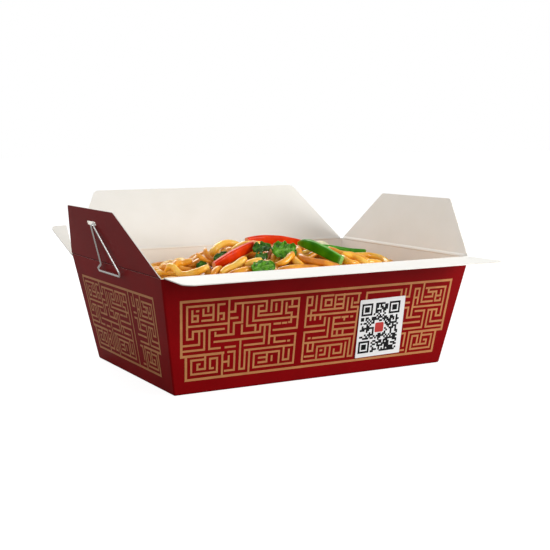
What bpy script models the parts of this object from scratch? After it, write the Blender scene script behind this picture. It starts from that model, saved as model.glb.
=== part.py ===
"""Noodle takeaway box: an open paperboard carton with four creased flaps, a wire
loop in one end flap, and a heap of fried noodles with vegetables inside.

Units are metres, +Z is up. The origin is the centre of the base, on the floor.
+X runs along the long side, and the labelled wall faces -Y.
"""
import math
import random

import bmesh
import bpy
from mathutils import Matrix, Vector, noise

# Carton
BOX_LENGTH = 0.196
BOX_WIDTH = 0.140
BOX_HEIGHT = 0.0645
BASE_LENGTH = 0.173
BASE_WIDTH = 0.1145
BOARD = 0.0005
GAP = 0.0003
SLANT_ALLOWANCE = 1.03
EDGE_ROUNDING = 0.001

# Flaps: reach from the crease, how far each end is cut back at the free edge (negative where
# the flap flares out), rounding of the free corners, and angle above level
CREASE_SETBACK = 0.00045
CORNER_SETBACK = 0.0015
END_FLAP = {"reach": 0.034, "chamfer": 0.032, "corner": 0.003}
BACK_FLAP = {"reach": 0.045, "chamfer": 0.0235, "corner": 0.005}
FRONT_FLAP = {"reach": 0.031, "chamfer": -0.003, "corner": 0.005}
LEFT_ANGLE = 68.5
RIGHT_ANGLE = 70.5
BACK_ANGLE = 53.5
FRONT_ANGLE = 0

# Slot in the left flap and the wire loop that hangs in it
SLOT_LENGTH = 0.0132
SLOT_HEIGHT = 0.0026
SLOT_ALONG = 0.0055
SLOT_UP = 0.0248
WIRE_RADIUS = 0.0007
LOOP_TOP = 0.0030
LOOP_TOP_ALONG = 0.0017
LOOP_BASE = 0.0348
LOOP_CRANK = 0.0014
LOOP_BASE_UP = -0.0044
LOOP_BASE_OUT = 0.0028
LOOP_KINK = 0.0082
LOOP_KINK_FOOT = 0.0018
LOOP_KINK_HEAD = 0.0050
LOOP_SHOULDER = 0.0008

# Web tab at the back left corner
TAB_TIP = 0.0085
TAB_RISE = 0.0198
TAB_ROOT = 0.0020
TAB_ANCHOR = 0.007
TAB_CORNER = 0.0024

# Label on the front wall
LABEL_WIDTH = 0.0306
LABEL_HEIGHT = 0.035
LABEL_THICK = 0.0002
LABEL_X = 0.0398
LABEL_DOWN = 0.0385
LABEL_TILT = 1.0

# Heap: its height is given from the rim of the box
HEAP_FOOT = -0.011
HEAP_RISE = 0.018
HEAP_CENTRE_X = 0.004
HEAP_SPREAD_X = 0.062
HEAP_SPREAD_Y = 0.048
HEAP_FALL = 2.4
CORE_DEPTH = 0.0026
CORE_COLUMNS = 34
CORE_ROWS = 24
NOODLE_RADIUS = 0.0021
NOODLE_STEP = 0.0062
NOODLE_POINTS = (11, 17)
NOODLE_BEND = 17
NOODLE_COLUMNS = 8
NOODLE_ROWS = 4
NOODLE_SEED = 11
NOODLE_AREA = (0.172, 0.112)
NOODLE_LEVELS = (0.0007, 0.0019)
NOODLE_SWAY = 0.0004
TOPPING_CLEARANCE = 0.0009
WALL_MARGIN = 0.0036
TURN_BAND = 0.016
TURN_LIMIT = 0.62

# Leaves: how far they wave, cup along the middle and droop at the tips
LEAF_THICK = 0.0005
LEAF_WAVE = 0.0009
LEAF_CUP = 0.0006
LEAF_DROOP = 0.0008
LEAF_TIP = 0.12

# Colours: base colour, roughness, metallic
FINISHES = {
    "red_board": ((0.37, 0.012, 0.022), 0.5, 0.0),
    "white_board": ((0.84, 0.82, 0.77), 0.6, 0.0),
    "steel": ((0.72, 0.71, 0.69), 0.25, 1.0),
    "label": ((0.88, 0.88, 0.86), 0.5, 0.0),
    "noodle": ((0.82, 0.42, 0.07), 0.35, 0.0),
    "red_pepper": ((0.83, 0.06, 0.01), 0.25, 0.0),
    "green_pepper": ((0.05, 0.28, 0.02), 0.25, 0.0),
    "onion": ((0.86, 0.83, 0.62), 0.3, 0.0),
    "leaf": ((0.02, 0.16, 0.02), 0.4, 0.0),
}


def clear_scene():
    for item in list(bpy.data.objects):
        bpy.data.objects.remove(item, do_unlink=True)


def new_collection(name):
    group = bpy.data.collections.new(name)
    bpy.context.scene.collection.children.link(group)
    return group


def finish_material(name):
    colour, roughness, metallic = FINISHES[name]
    material = bpy.data.materials.get(name) or bpy.data.materials.new(name)
    material.use_nodes = True
    shader = material.node_tree.nodes["Principled BSDF"]
    shader.inputs["Base Color"].default_value = (*colour, 1.0)
    shader.inputs["Roughness"].default_value = roughness
    shader.inputs["Metallic"].default_value = metallic
    return material


def place(item, group, finish=None):
    for owner in list(item.users_collection):
        owner.objects.unlink(item)
    group.objects.link(item)
    if finish:
        item.data.materials.clear()
        item.data.materials.append(finish_material(finish))
    else:
        item.hide_render = True
        item.display_type = "WIRE"
    return item


def mesh_object(name, bm):
    mesh = bpy.data.meshes.new(name)
    bm.to_mesh(mesh)
    bm.free()
    return bpy.data.objects.new(name, mesh)


def rounded(corners, radii, steps=3):
    """Outline through the corners, each replaced by an arc of its radius."""
    points = []
    count = len(corners)
    for i, (corner, radius) in enumerate(zip(corners, radii)):
        here = Vector(corner)
        to_last = (Vector(corners[i - 1]) - here).normalized()
        to_next = (Vector(corners[(i + 1) % count]) - here).normalized()
        if radius <= 0.0:
            points.append(here)
            continue
        half = to_last.angle(to_next) / 2
        centre = here + (to_last + to_next).normalized() * radius / math.sin(half)
        start = here + to_last * radius / math.tan(half) - centre
        end = here + to_next * radius / math.tan(half) - centre
        sweep = start.angle(end)
        for k in range(steps + 1):
            t = k / steps
            arm = (start * math.sin((1 - t) * sweep) + end * math.sin(t * sweep)) / math.sin(sweep)
            points.append(centre + arm)
    return points


def add_spline(curve, points, closed, radii=None):
    spline = curve.splines.new("POLY")
    spline.points.add(len(points) - 1)
    for i, point in enumerate(points):
        flat = Vector(point).to_3d()
        spline.points[i].co = (*flat, 1.0)
        spline.points[i].radius = radii[i] if radii else 1.0
    spline.use_cyclic_u = closed
    return spline


def smooth_path(points, count):
    """Evenly spaced points on a Catmull-Rom curve through the given points."""
    knots = [Vector(p) for p in points]
    knots = [knots[0] * 2 - knots[1]] + knots + [knots[-1] * 2 - knots[-2]]
    fine = []
    for i in range(1, len(knots) - 2):
        a, b, c, d = knots[i - 1:i + 3]
        for k in range(12):
            t = k / 12
            fine.append(0.5 * ((2 * b) + (c - a) * t + (2 * a - 5 * b + 4 * c - d) * t * t
                               + (3 * b - a - 3 * c + d) * t ** 3))
    fine.append(knots[-2])
    lengths = [0.0]
    for p, q in zip(fine, fine[1:]):
        lengths.append(lengths[-1] + (q - p).length)
    result = []
    j = 0
    for k in range(count):
        want = lengths[-1] * k / (count - 1)
        while j < len(lengths) - 2 and lengths[j + 1] < want:
            j += 1
        span = lengths[j + 1] - lengths[j]
        result.append(fine[j].lerp(fine[j + 1], (want - lengths[j]) / span))
    return result


# Carton

def box_half(z):
    """Half length and half width of the outside of the carton at height z."""
    t = z / BOX_HEIGHT
    half_x = (BASE_LENGTH + (BOX_LENGTH - BASE_LENGTH) * t) / 2
    half_y = (BASE_WIDTH + (BOX_WIDTH - BASE_WIDTH) * t) / 2
    return half_x, half_y


def make_corner_tab(guides):
    """Free corner of the folded web, which sticks up behind the left flap."""
    lean = math.radians(BACK_ANGLE)
    wall = Vector((0, (BASE_WIDTH - BOX_WIDTH) / 2, -BOX_HEIGHT)).normalized()
    rise = Vector((0, math.cos(lean), math.sin(lean)))
    corner = Vector((-BOX_LENGTH / 2, BOX_WIDTH / 2, BOX_HEIGHT))
    root_x = CORNER_SETBACK - CREASE_SETBACK
    side = Vector((1, 0, 0))
    outline = [
        corner + side * (root_x - TAB_ROOT),
        corner + side * root_x,
        corner + side * (root_x + TAB_ANCHOR) + wall * TAB_ANCHOR,
        corner + side * (root_x + TAB_ANCHOR / 2) + wall * TAB_ANCHOR,
    ]
    upper = [
        corner + side * root_x + rise * TAB_RISE,
        corner - side * (TAB_TIP - TAB_CORNER) + rise * TAB_RISE,
        corner - side * (TAB_TIP - TAB_CORNER / 4) + rise * (TAB_RISE - TAB_CORNER / 4),
        corner - side * TAB_TIP + rise * (TAB_RISE - TAB_CORNER),
    ]
    bm = bmesh.new()
    low = [bm.verts.new(p) for p in outline]
    high = [bm.verts.new(p) for p in upper]
    bm.faces.new((low[0], low[3], low[2], low[1]))
    bm.faces.new((low[0], low[1], high[0], high[1], high[2], high[3]))
    bmesh.ops.recalc_face_normals(bm, faces=bm.faces[:])
    tab = place(mesh_object("corner_tab", bm), guides)
    shell = tab.modifiers.new("board", "SOLIDIFY")
    shell.thickness = BOARD
    shell.offset = 0.0
    return tab


def make_box(parts, guides):
    bpy.ops.mesh.primitive_cube_add(size=1)
    box = bpy.context.object
    box.name = "box"
    bm = bmesh.new()
    bm.from_mesh(box.data)
    for vert in bm.verts:
        z = BOX_HEIGHT - CREASE_SETBACK if vert.co.z > 0 else 0.0
        half_x, half_y = box_half(z)
        vert.co = (math.copysign(half_x, vert.co.x), math.copysign(half_y, vert.co.y), z)
    top = [f for f in bm.faces if f.normal.z > 0.9]
    bmesh.ops.delete(bm, geom=top, context="FACES_ONLY")
    folds = [e for e in bm.edges if not e.is_boundary]
    bmesh.ops.bevel(bm, geom=folds, offset=EDGE_ROUNDING, segments=2, profile=0.5, affect="EDGES")
    bm.to_mesh(box.data)
    bm.free()
    shell = box.modifiers.new("board", "SOLIDIFY")
    shell.thickness = BOARD
    shell.offset = -1.0
    shell.use_even_offset = True
    joined = box.modifiers.new("corner_tab", "BOOLEAN")
    joined.operation = "UNION"
    joined.object = make_corner_tab(guides)
    return place(box, parts, "red_board")


# Flaps

def crease_frame(side, angle):
    """Frame on a crease: X along it, Y out along the flap, Z to the inner face."""
    yaw, centre = {
        "front": (180, (0, -BOX_WIDTH / 2, BOX_HEIGHT)),
        "back": (0, (0, BOX_WIDTH / 2, BOX_HEIGHT)),
        "left": (90, (-BOX_LENGTH / 2, 0, BOX_HEIGHT)),
        "right": (-90, (BOX_LENGTH / 2, 0, BOX_HEIGHT)),
    }[side]
    turn = Matrix.Rotation(math.radians(yaw), 4, "Z") @ Matrix.Rotation(math.radians(angle), 4, "X")
    return Matrix.Translation(centre) @ turn


def make_flap(side, length, shape, angle, parts, slot=False):
    """Flat board cut with slanted ends, its origin on the crease it folds about."""
    half = length / 2 - CORNER_SETBACK
    reach = shape["reach"]
    chamfer = shape["chamfer"]
    corners = [
        (-half, CREASE_SETBACK), (half, CREASE_SETBACK),
        (half - chamfer, reach), (-half + chamfer, reach),
    ]
    curve = bpy.data.curves.new("flap_" + side, "CURVE")
    curve.dimensions = "2D"
    curve.fill_mode = "BOTH"
    curve.extrude = BOARD / 2
    add_spline(curve, rounded(corners, (0, 0, shape["corner"], shape["corner"])), True)
    if slot:
        a = SLOT_LENGTH / 2
        b = SLOT_HEIGHT / 2
        hole = [(SLOT_ALONG + sx * a, SLOT_UP + sy * b) for sx, sy in ((-1, -1), (1, -1), (1, 1), (-1, 1))]
        add_spline(curve, rounded(hole, [b * 0.95] * 4), True)
    flap = bpy.data.objects.new("flap_" + side, curve)
    flap.matrix_world = crease_frame(side, angle)
    return place(flap, parts, "white_board")


def make_wire_loop(parts):
    """Bent steel wire: a short bar in the slot, two spread legs and a base."""
    top = SLOT_UP
    bar = LOOP_TOP / 2
    base = LOOP_BASE / 2
    out = LOOP_BASE_OUT
    shoulder = top - LOOP_CRANK * 0.9
    corners = [
        (LOOP_TOP_ALONG - bar, top, 0.0),
        (LOOP_TOP_ALONG - bar - LOOP_SHOULDER, shoulder, -LOOP_CRANK),
        (-base, LOOP_BASE_UP, -out),
        (base, LOOP_BASE_UP, -out),
        (base, LOOP_BASE_UP + LOOP_KINK_FOOT, -out),
        (base - LOOP_KINK, LOOP_BASE_UP + LOOP_KINK_HEAD, -out),
        (LOOP_TOP_ALONG + bar + LOOP_SHOULDER, shoulder, -LOOP_CRANK),
        (LOOP_TOP_ALONG + bar, top, 0.0),
    ]
    bends = (0.0004, 0.0007, 0.0020, 0.0009, 0.0009, 0.0014, 0.0007, 0.0004)
    curve = bpy.data.curves.new("wire_loop", "CURVE")
    curve.dimensions = "3D"
    curve.bevel_depth = WIRE_RADIUS
    curve.bevel_resolution = 2
    add_spline(curve, rounded(corners, bends), True)
    loop = bpy.data.objects.new("wire_loop", curve)
    loop.matrix_world = crease_frame("left", LEFT_ANGLE)
    return place(loop, parts, "steel")


def make_label(parts):
    """Paper label on the front wall, lying in the wall's plane."""
    up = Vector((0, (BASE_WIDTH - BOX_WIDTH) / 2, BOX_HEIGHT)).normalized()
    along = Vector((1, 0, 0))
    outward = along.cross(up)
    top_edge = Vector((0, -BOX_WIDTH / 2, BOX_HEIGHT))
    centre = top_edge + along * LABEL_X - up * LABEL_DOWN + outward * (GAP + LABEL_THICK / 2)
    frame = Matrix((along, up, outward)).transposed().to_4x4()
    frame.translation = centre
    bpy.ops.mesh.primitive_cube_add(size=1)
    label = bpy.context.object
    label.name = "label"
    label.data.transform(Matrix.Diagonal((LABEL_WIDTH, LABEL_HEIGHT, LABEL_THICK, 1)))
    label.matrix_world = frame @ Matrix.Rotation(math.radians(LABEL_TILT), 4, "Z")
    return place(label, parts, "label")


# Food

def heap_top(x, y):
    """Mean height of the noodle heap: a broad mound that falls below the rim at the walls."""
    fall_x = (abs(x - HEAP_CENTRE_X) / HEAP_SPREAD_X) ** HEAP_FALL
    fall_y = (abs(y) / HEAP_SPREAD_Y) ** HEAP_FALL
    return BOX_HEIGHT + HEAP_FOOT + HEAP_RISE * math.exp(-fall_x - fall_y)


def core_top(x, y):
    uneven = 0.0005 * noise.noise(Vector((x, y, 0)) * 70)
    return heap_top(x, y) - CORE_DEPTH + uneven


def inner_half(z):
    """Half sizes of the space inside the walls at height z, less the gap."""
    half_x, half_y = box_half(z)
    wall = (BOARD + GAP) * SLANT_ALLOWANCE
    return half_x - wall, half_y - wall


# Toppings: (x, y, height over the bare core) of points along each strip
STRIPS = {
    "red_pepper_front": {"finish": "red_pepper", "width": 0.0064, "thick": 0.004, "ends": 0.75,
          "path": ((-0.0465, -0.0235, 0.0038), (-0.037, -0.0205, 0.0044), (-0.026, -0.0165, 0.0046),
                   (-0.0135, -0.011, 0.0046))},
    "red_pepper_back": {"finish": "red_pepper", "width": 0.006, "thick": 0.0036, "ends": 0.6,
          "path": ((-0.0095, 0.008, 0.0039), (-0.002, 0.009, 0.0042), (0.005, 0.009, 0.0039),
                   (0.014, 0.008, 0.0035), (0.0225, 0.006, 0.0031), (0.03, 0.002, 0.0031))},
    "green_pepper_front": {"finish": "green_pepper", "width": 0.0066, "thick": 0.0044, "ends": 0.6,
          "path": ((0.02, -0.0035, 0.0028), (0.0185, -0.017, 0.0044), (0.0215, -0.029, 0.0048),
                   (0.027, -0.0415, 0.0042))},
    "green_pepper_back": {"finish": "green_pepper", "width": 0.0048, "thick": 0.0038, "ends": 0.75,
          "path": ((0.036, 0.001, 0.0024), (0.047, 0.002, 0.0026), (0.06, 0.0025, 0.004),
                   (0.0725, 0.0025, 0.0056))},
    "onion": {"finish": "onion", "width": 0.0034, "thick": 0.003, "ends": 0.7,
          "path": ((0.041, 0.01, 0.0046), (0.0455, 0.01, 0.0052), (0.0495, 0.009, 0.0042))},
}

# Leaves: centre, heading in degrees, length, width, height over the core, roll in degrees
LEAVES = {
    "leaf_dark": ((-0.013, -0.019), 8, 0.0125, 0.0085, 0.005, 25),
    "leaf_bright": ((-0.0035, -0.0285), 10, 0.0165, 0.0115, 0.0058, 40),
    "leaf_front": ((-0.0245, -0.042), 5, 0.015, 0.009, 0.005, 32),
    "leaf_left": ((-0.0355, -0.012), 12, 0.011, 0.0065, 0.0039, 20),
    "leaf_small": ((-0.0495, -0.014), 10, 0.0065, 0.005, 0.004, 25),
    "leaf_middle": ((-0.018, -0.027), 5, 0.0085, 0.0055, 0.0034, 22),
}


def strip_points(strip, count=11):
    path = [(x, y, core_top(x, y) + lift) for x, y, lift in strip["path"]]
    return smooth_path(path, count)


def make_strip(name, strip, parts, guides):
    """Cut strip of vegetable: one rounded section carried along a bowed path."""
    half_w = strip["width"] / 2
    half_t = strip["thick"] / 2
    section = bpy.data.curves.new(name + "_section", "CURVE")
    section.dimensions = "2D"
    turns = [-2 * math.pi * k / 8 for k in range(8)]
    ring = [(half_t * math.cos(a), half_w * math.sin(a)) for a in turns]
    add_spline(section, ring, True)
    guide = place(bpy.data.objects.new(name + "_section", section), guides)
    curve = bpy.data.curves.new(name, "CURVE")
    curve.dimensions = "3D"
    curve.twist_mode = "Z_UP"
    curve.bevel_mode = "OBJECT"
    curve.bevel_object = guide
    curve.use_fill_caps = True
    points = strip_points(strip)
    last = len(points) - 1
    swell = [1 - (1 - strip["ends"]) * abs(2 * i / last - 1) ** 4 for i in range(last + 1)]
    add_spline(curve, points, False, swell)
    return place(bpy.data.objects.new(name, curve), parts, strip["finish"])


def leaf_point(leaf, u, v, curl):
    """Point of a leaf at u along and v across it, both from -1 to 1, raised by its curl."""
    centre, heading, length, width, lift, roll = leaf
    turn = Matrix.Rotation(math.radians(heading), 3, "Z") @ Matrix.Rotation(math.radians(roll), 3, "X")
    spot = turn @ Vector((u * length / 2, v * width / 2, curl))
    x = centre[0] + spot.x
    y = centre[1] + spot.y
    return Vector((x, y, core_top(x, y) + lift + spot.z))


def make_leaf(name, leaf, parts):
    """Thin wavy leaf: a grid drawn in to the leaf's outline, given its thickness."""
    bpy.ops.mesh.primitive_grid_add(x_subdivisions=8, y_subdivisions=4, size=2)
    item = bpy.context.object
    item.name = name
    seed = Vector((*leaf[0], 0)) * 900
    for vert in item.data.vertices:
        u, v = vert.co.x, vert.co.y
        v *= math.sqrt(max(1 - abs(u) ** 2.2, 0.0)) * (1 - LEAF_TIP) + LEAF_TIP
        wave = LEAF_WAVE * noise.noise(Vector((u * 1.7, v * 1.5, 0)) + seed)
        vert.co = leaf_point(leaf, u, v, wave + LEAF_CUP * v * v - LEAF_DROOP * u * u)
    bm = bmesh.new()
    bm.from_mesh(item.data)
    bmesh.ops.triangulate(bm, faces=bm.faces[:])
    bm.to_mesh(item.data)
    bm.free()
    blade = item.modifiers.new("blade", "SOLIDIFY")
    blade.thickness = LEAF_THICK
    blade.offset = 0.0
    return place(item, parts, "leaf")


def topping_zones():
    """Points and radii that the noodles keep clear of."""
    zones = []
    for strip in STRIPS.values():
        for point in strip_points(strip, 15):
            zones.append((point, max(strip["width"], strip["thick"]) / 2))
    for leaf in LEAVES.values():
        for u in (-0.8, -0.4, 0.0, 0.4, 0.8):
            for v in (-0.5, 0.5):
                zones.append((leaf_point(leaf, u, v, 0.0), leaf[3] / 4 + TOPPING_CLEARANCE))
    return zones


# Noodles that stand out in the photo: (x, y, height over the bare core)
KEY_NOODLES = (
    ((-0.068, 0.0095, 0.0016), (-0.0655, 0.0035, 0.002), (-0.0635, -0.0025, 0.002), (-0.061, -0.007, 0.001)),
    ((-0.068, 0.0025, 0.0015), (-0.062, -0.0075, 0.0022), (-0.0585, -0.011, 0.0024),
     (-0.054, -0.013, 0.0018)),
    ((-0.017, -0.0435, 0.0015), (-0.011, -0.044, 0.0025), (-0.003, -0.0445, 0.0027),
     (0.004, -0.0455, 0.0024), (0.011, -0.045, 0.0014)),
    ((-0.001, -0.0295, 0.002), (-0.001, -0.035, 0.003), (-0.001, -0.0395, 0.0028), (0.0005, -0.0425, 0.0016)),
    ((-0.0135, -0.036, 0.0016), (-0.008, -0.0365, 0.0026), (-0.0025, -0.0345, 0.0022),
     (0.003, -0.031, 0.0012)),
    ((0.05, -0.033, 0.0022), (0.0565, -0.0315, 0.0024), (0.064, -0.029, 0.0014)),
    ((-0.0315, -0.032, 0.0028), (-0.0265, -0.032, 0.0033), (-0.0215, -0.0315, 0.0034),
     (-0.016, -0.0305, 0.0032), (-0.012, -0.0295, 0.002)),
    ((-0.0465, -0.033, 0.002), (-0.043, -0.0315, 0.003), (-0.039, -0.0315, 0.0033), (-0.034, -0.032, 0.003),
     (-0.03, -0.0315, 0.0018)),
    ((-0.0445, -0.037, 0.0018), (-0.0395, -0.038, 0.0028), (-0.0345, -0.0385, 0.0032),
     (-0.029, -0.0375, 0.0024)),
    ((-0.0515, -0.0325, 0.0018), (-0.0495, -0.0305, 0.0032), (-0.0465, -0.0285, 0.0036),
     (-0.043, -0.0265, 0.0026)),
    ((-0.0555, -0.0055, 0.0022), (-0.0525, -0.0075, 0.003), (-0.0465, -0.005, 0.0034),
     (-0.042, -0.001, 0.003)),
    ((-0.066, -0.012, 0.007), (-0.0625, -0.008, 0.0042), (-0.058, -0.0065, 0.003), (-0.053, -0.009, 0.0024)),
    ((-0.07, -0.0095, 0.0012), (-0.0665, -0.0155, 0.002), (-0.062, -0.0205, 0.0029),
     (-0.0565, -0.0245, 0.004), (-0.0515, -0.024, 0.0046), (-0.0465, -0.0205, 0.0042)),
    ((-0.0375, 0.001, 0.002), (-0.036, -0.0015, 0.0054), (-0.0305, 0.002, 0.0066), (-0.024, 0.005, 0.0058),
     (-0.0195, 0.006, 0.0045), (-0.015, 0.004, 0.002)),
    ((-0.028, -0.0085, 0.0026), (-0.025, -0.0085, 0.0042), (-0.021, -0.0075, 0.0052),
     (-0.0155, -0.0055, 0.0046), (-0.0095, -0.0035, 0.0036), (-0.003, -0.003, 0.002)),
    ((-0.0415, -0.002, 0.0092), (-0.0425, -0.005, 0.0066), (-0.0415, -0.0075, 0.0036),
     (-0.04, -0.01, 0.0018)),
    ((-0.0495, -0.008, 0.0098), (-0.049, -0.011, 0.0072), (-0.0465, -0.0125, 0.0046),
     (-0.044, -0.0145, 0.003)),
    ((0.034, -0.03, 0.0024), (0.032, -0.0365, 0.0032), (0.0335, -0.0405, 0.0032), (0.0405, -0.0395, 0.0018)),
    ((0.036, -0.0285, 0.0024), (0.042, -0.029, 0.0032), (0.0455, -0.034, 0.0029), (0.049, -0.037, 0.0018)),
    ((0.056, -0.008, 0.001), (0.0625, -0.0065, 0.0026), (0.0705, -0.006, 0.0042), (0.076, -0.009, 0.0038),
     (0.077, -0.0145, 0.0022), (0.075, -0.02, 0.001)),
    ((0.01, -0.019, 0.0024), (0.0075, -0.025, 0.0038), (0.0045, -0.0315, 0.004), (0.0035, -0.038, 0.0043),
     (0.007, -0.042, 0.0044), (0.013, -0.044, 0.0042), (0.0185, -0.046, 0.0034), (0.024, -0.046, 0.002)),
)


def wandering_noodle(rng, start, heading):
    """Points of a noodle that bends slowly as it goes and turns back near the walls."""
    half_x, half_y = inner_half(BOX_HEIGHT * 0.8)
    x, y = start
    bend = rng.uniform(-1, 1) * NOODLE_BEND
    points = []
    for _ in range(rng.randint(*NOODLE_POINTS)):
        if abs(x) > half_x - WALL_MARGIN or abs(y) > half_y - WALL_MARGIN:
            break
        points.append((x, y))
        bend += rng.uniform(-0.45, 0.45) * NOODLE_BEND
        bend = max(-NOODLE_BEND, min(NOODLE_BEND, bend))
        edge = max(abs(x) - half_x + TURN_BAND, abs(y) - half_y + TURN_BAND, 0.0) / TURN_BAND
        home = math.atan2(-y, -x)
        away = (home - heading + math.pi) % (2 * math.pi) - math.pi
        heading += math.radians(bend) + math.copysign(min(abs(away), TURN_LIMIT), away) * edge
        x += math.cos(heading) * NOODLE_STEP
        y += math.sin(heading) * NOODLE_STEP
    return points


def longest_clear_run(points, zones):
    """The longest stretch of a noodle that stays clear of every topping."""
    best = []
    run = []
    for point in points:
        blocked = any((point - spot).length < NOODLE_RADIUS + radius + TOPPING_CLEARANCE
                      for spot, radius in zones)
        run = [] if blocked else run + [point]
        if len(run) > len(best):
            best = run
    return best


def noodle_paths():
    zones = topping_zones()
    paths = []
    for key in KEY_NOODLES:
        spots = [(x, y, core_top(x, y) + lift) for x, y, lift in key]
        length = sum((Vector(p) - Vector(q)).length for p, q in zip(spots, spots[1:]))
        points = smooth_path(spots, max(4, round(length / NOODLE_STEP) + 1))
        paths.append(longest_clear_run(points, zones))
    rng = random.Random(NOODLE_SEED)
    for k in range(NOODLE_COLUMNS * NOODLE_ROWS):
        column = k % NOODLE_COLUMNS
        row = k // NOODLE_COLUMNS
        x = ((column + 0.5 + rng.uniform(-0.4, 0.4)) / NOODLE_COLUMNS - 0.5) * NOODLE_AREA[0]
        y = ((row + 0.5 + rng.uniform(-0.4, 0.4)) / NOODLE_ROWS - 0.5) * NOODLE_AREA[1]
        level = rng.uniform(*NOODLE_LEVELS)
        flat = wandering_noodle(rng, (x, y), rng.uniform(0, 2 * math.pi))
        sway = rng.uniform(0, 6)
        points = [Vector((px, py, core_top(px, py) + level + NOODLE_SWAY * math.sin(sway + i * 0.7)))
                  for i, (px, py) in enumerate(flat)]
        paths.append(longest_clear_run(points, zones))
    return [path for path in paths if len(path) >= 4]


def make_noodle(path, index, fused):
    curve = bpy.data.curves.new("noodle_curve", "CURVE")
    curve.dimensions = "3D"
    curve.bevel_depth = NOODLE_RADIUS
    curve.bevel_resolution = 1
    curve.use_fill_caps = True
    ends = [0.75] + [1.0] * (len(path) - 2) + [0.75]
    add_spline(curve, path, False, ends)
    strand = bpy.data.objects.new("noodle_curve", curve)
    fused.objects.link(strand)
    bpy.context.view_layer.update()
    shape = strand.evaluated_get(bpy.context.evaluated_depsgraph_get())
    mesh = bpy.data.meshes.new_from_object(shape)
    bpy.data.objects.remove(strand)
    bm = bmesh.new()
    bm.from_mesh(mesh)
    bmesh.ops.remove_doubles(bm, verts=bm.verts[:], dist=0.00001)
    bmesh.ops.recalc_face_normals(bm, faces=bm.faces[:])
    bm.to_mesh(mesh)
    bm.free()
    place(bpy.data.objects.new("noodle_%02d" % index, mesh), fused)


def core_mesh():
    """Closed body of the heap: an uneven top, walls that follow the box, a flat foot."""
    foot = BOARD + GAP
    bm = bmesh.new()
    grid = []
    for j in range(CORE_ROWS + 1):
        row = []
        for i in range(CORE_COLUMNS + 1):
            u = 2 * i / CORE_COLUMNS - 1
            v = 2 * j / CORE_ROWS - 1
            half_x, half_y = inner_half(BOX_HEIGHT + HEAP_FOOT)
            z = core_top(u * half_x, v * half_y)
            half_x, half_y = inner_half(z)
            row.append(bm.verts.new((u * min(half_x, box_half(BOX_HEIGHT)[0]), v * half_y, z)))
        grid.append(row)
    for j in range(CORE_ROWS):
        for i in range(CORE_COLUMNS):
            bm.faces.new((grid[j][i], grid[j][i + 1], grid[j + 1][i + 1], grid[j + 1][i]))
    rim = grid[0][:-1] + [row[-1] for row in grid[:-1]] + grid[-1][:0:-1] + [row[0] for row in grid[:0:-1]]
    low = []
    for vert in rim:
        high_x, high_y = inner_half(vert.co.z)
        foot_x, foot_y = inner_half(foot)
        low.append(bm.verts.new((vert.co.x * foot_x / high_x, vert.co.y * foot_y / high_y, foot)))
    for k in range(len(rim)):
        n = (k + 1) % len(rim)
        bm.faces.new((rim[n], rim[k], low[k], low[n]))
    bm.faces.new(low[::-1])
    bmesh.ops.recalc_face_normals(bm, faces=bm.faces[:])
    return bm


def islands(bm):
    """Sets of faces that hang together."""
    left = set(bm.faces)
    groups = []
    while left:
        front = [left.pop()]
        group = set(front)
        while front:
            face = front.pop()
            for edge in face.edges:
                for other in edge.link_faces:
                    if other in left:
                        left.discard(other)
                        group.add(other)
                        front.append(other)
        groups.append(group)
    return groups


def keep_outer_skin(item):
    """Fill the hollows that joining sealed and drop loose scraps."""
    bm = bmesh.new()
    bm.from_mesh(item.data)
    bmesh.ops.remove_doubles(bm, verts=bm.verts[:], dist=0.000002)
    bmesh.ops.dissolve_degenerate(bm, edges=bm.edges[:], dist=0.000002)
    groups = sorted(islands(bm), key=len)
    for group in groups[:-1]:
        bmesh.ops.delete(bm, geom=list(group), context="FACES")
    bm.to_mesh(item.data)
    bm.free()


def make_noodles(parts):
    heap = mesh_object("noodles", core_mesh())
    place(heap, parts, "noodle")
    fused = new_collection("fused_noodles")
    for index, path in enumerate(noodle_paths()):
        make_noodle(path, index, fused)
    join = heap.modifiers.new("fused", "BOOLEAN")
    join.operation = "UNION"
    join.operand_type = "COLLECTION"
    join.collection = fused
    join.solver = "EXACT"
    bpy.context.view_layer.objects.active = heap
    bpy.ops.object.modifier_apply(modifier=join.name)
    for strand in list(fused.objects):
        bpy.data.objects.remove(strand)
    bpy.data.collections.remove(fused)
    keep_outer_skin(heap)
    return heap


def main():
    clear_scene()
    parts = new_collection("noodle_takeaway_box")
    guides = new_collection("guides")
    make_box(parts, guides)
    make_flap("front", BOX_LENGTH, FRONT_FLAP, FRONT_ANGLE, parts)
    make_flap("back", BOX_LENGTH, BACK_FLAP, BACK_ANGLE, parts)
    make_flap("left", BOX_WIDTH, END_FLAP, LEFT_ANGLE, parts, slot=True)
    make_flap("right", BOX_WIDTH, END_FLAP, RIGHT_ANGLE, parts)
    make_wire_loop(parts)
    make_label(parts)
    make_noodles(parts)
    for name, strip in STRIPS.items():
        make_strip(name, strip, parts, guides)
    for name, leaf in LEAVES.items():
        make_leaf(name, leaf, parts)


main()
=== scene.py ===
"""Noodle takeaway box: the printed carton with its wire loop, the fried noodles and the vegetables.

Everything is in metres, +Z up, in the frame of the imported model. The labelled wall faces -Y.
"""
import math
import random

import bmesh
import bpy
from mathutils import Matrix, Vector, noise


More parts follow.
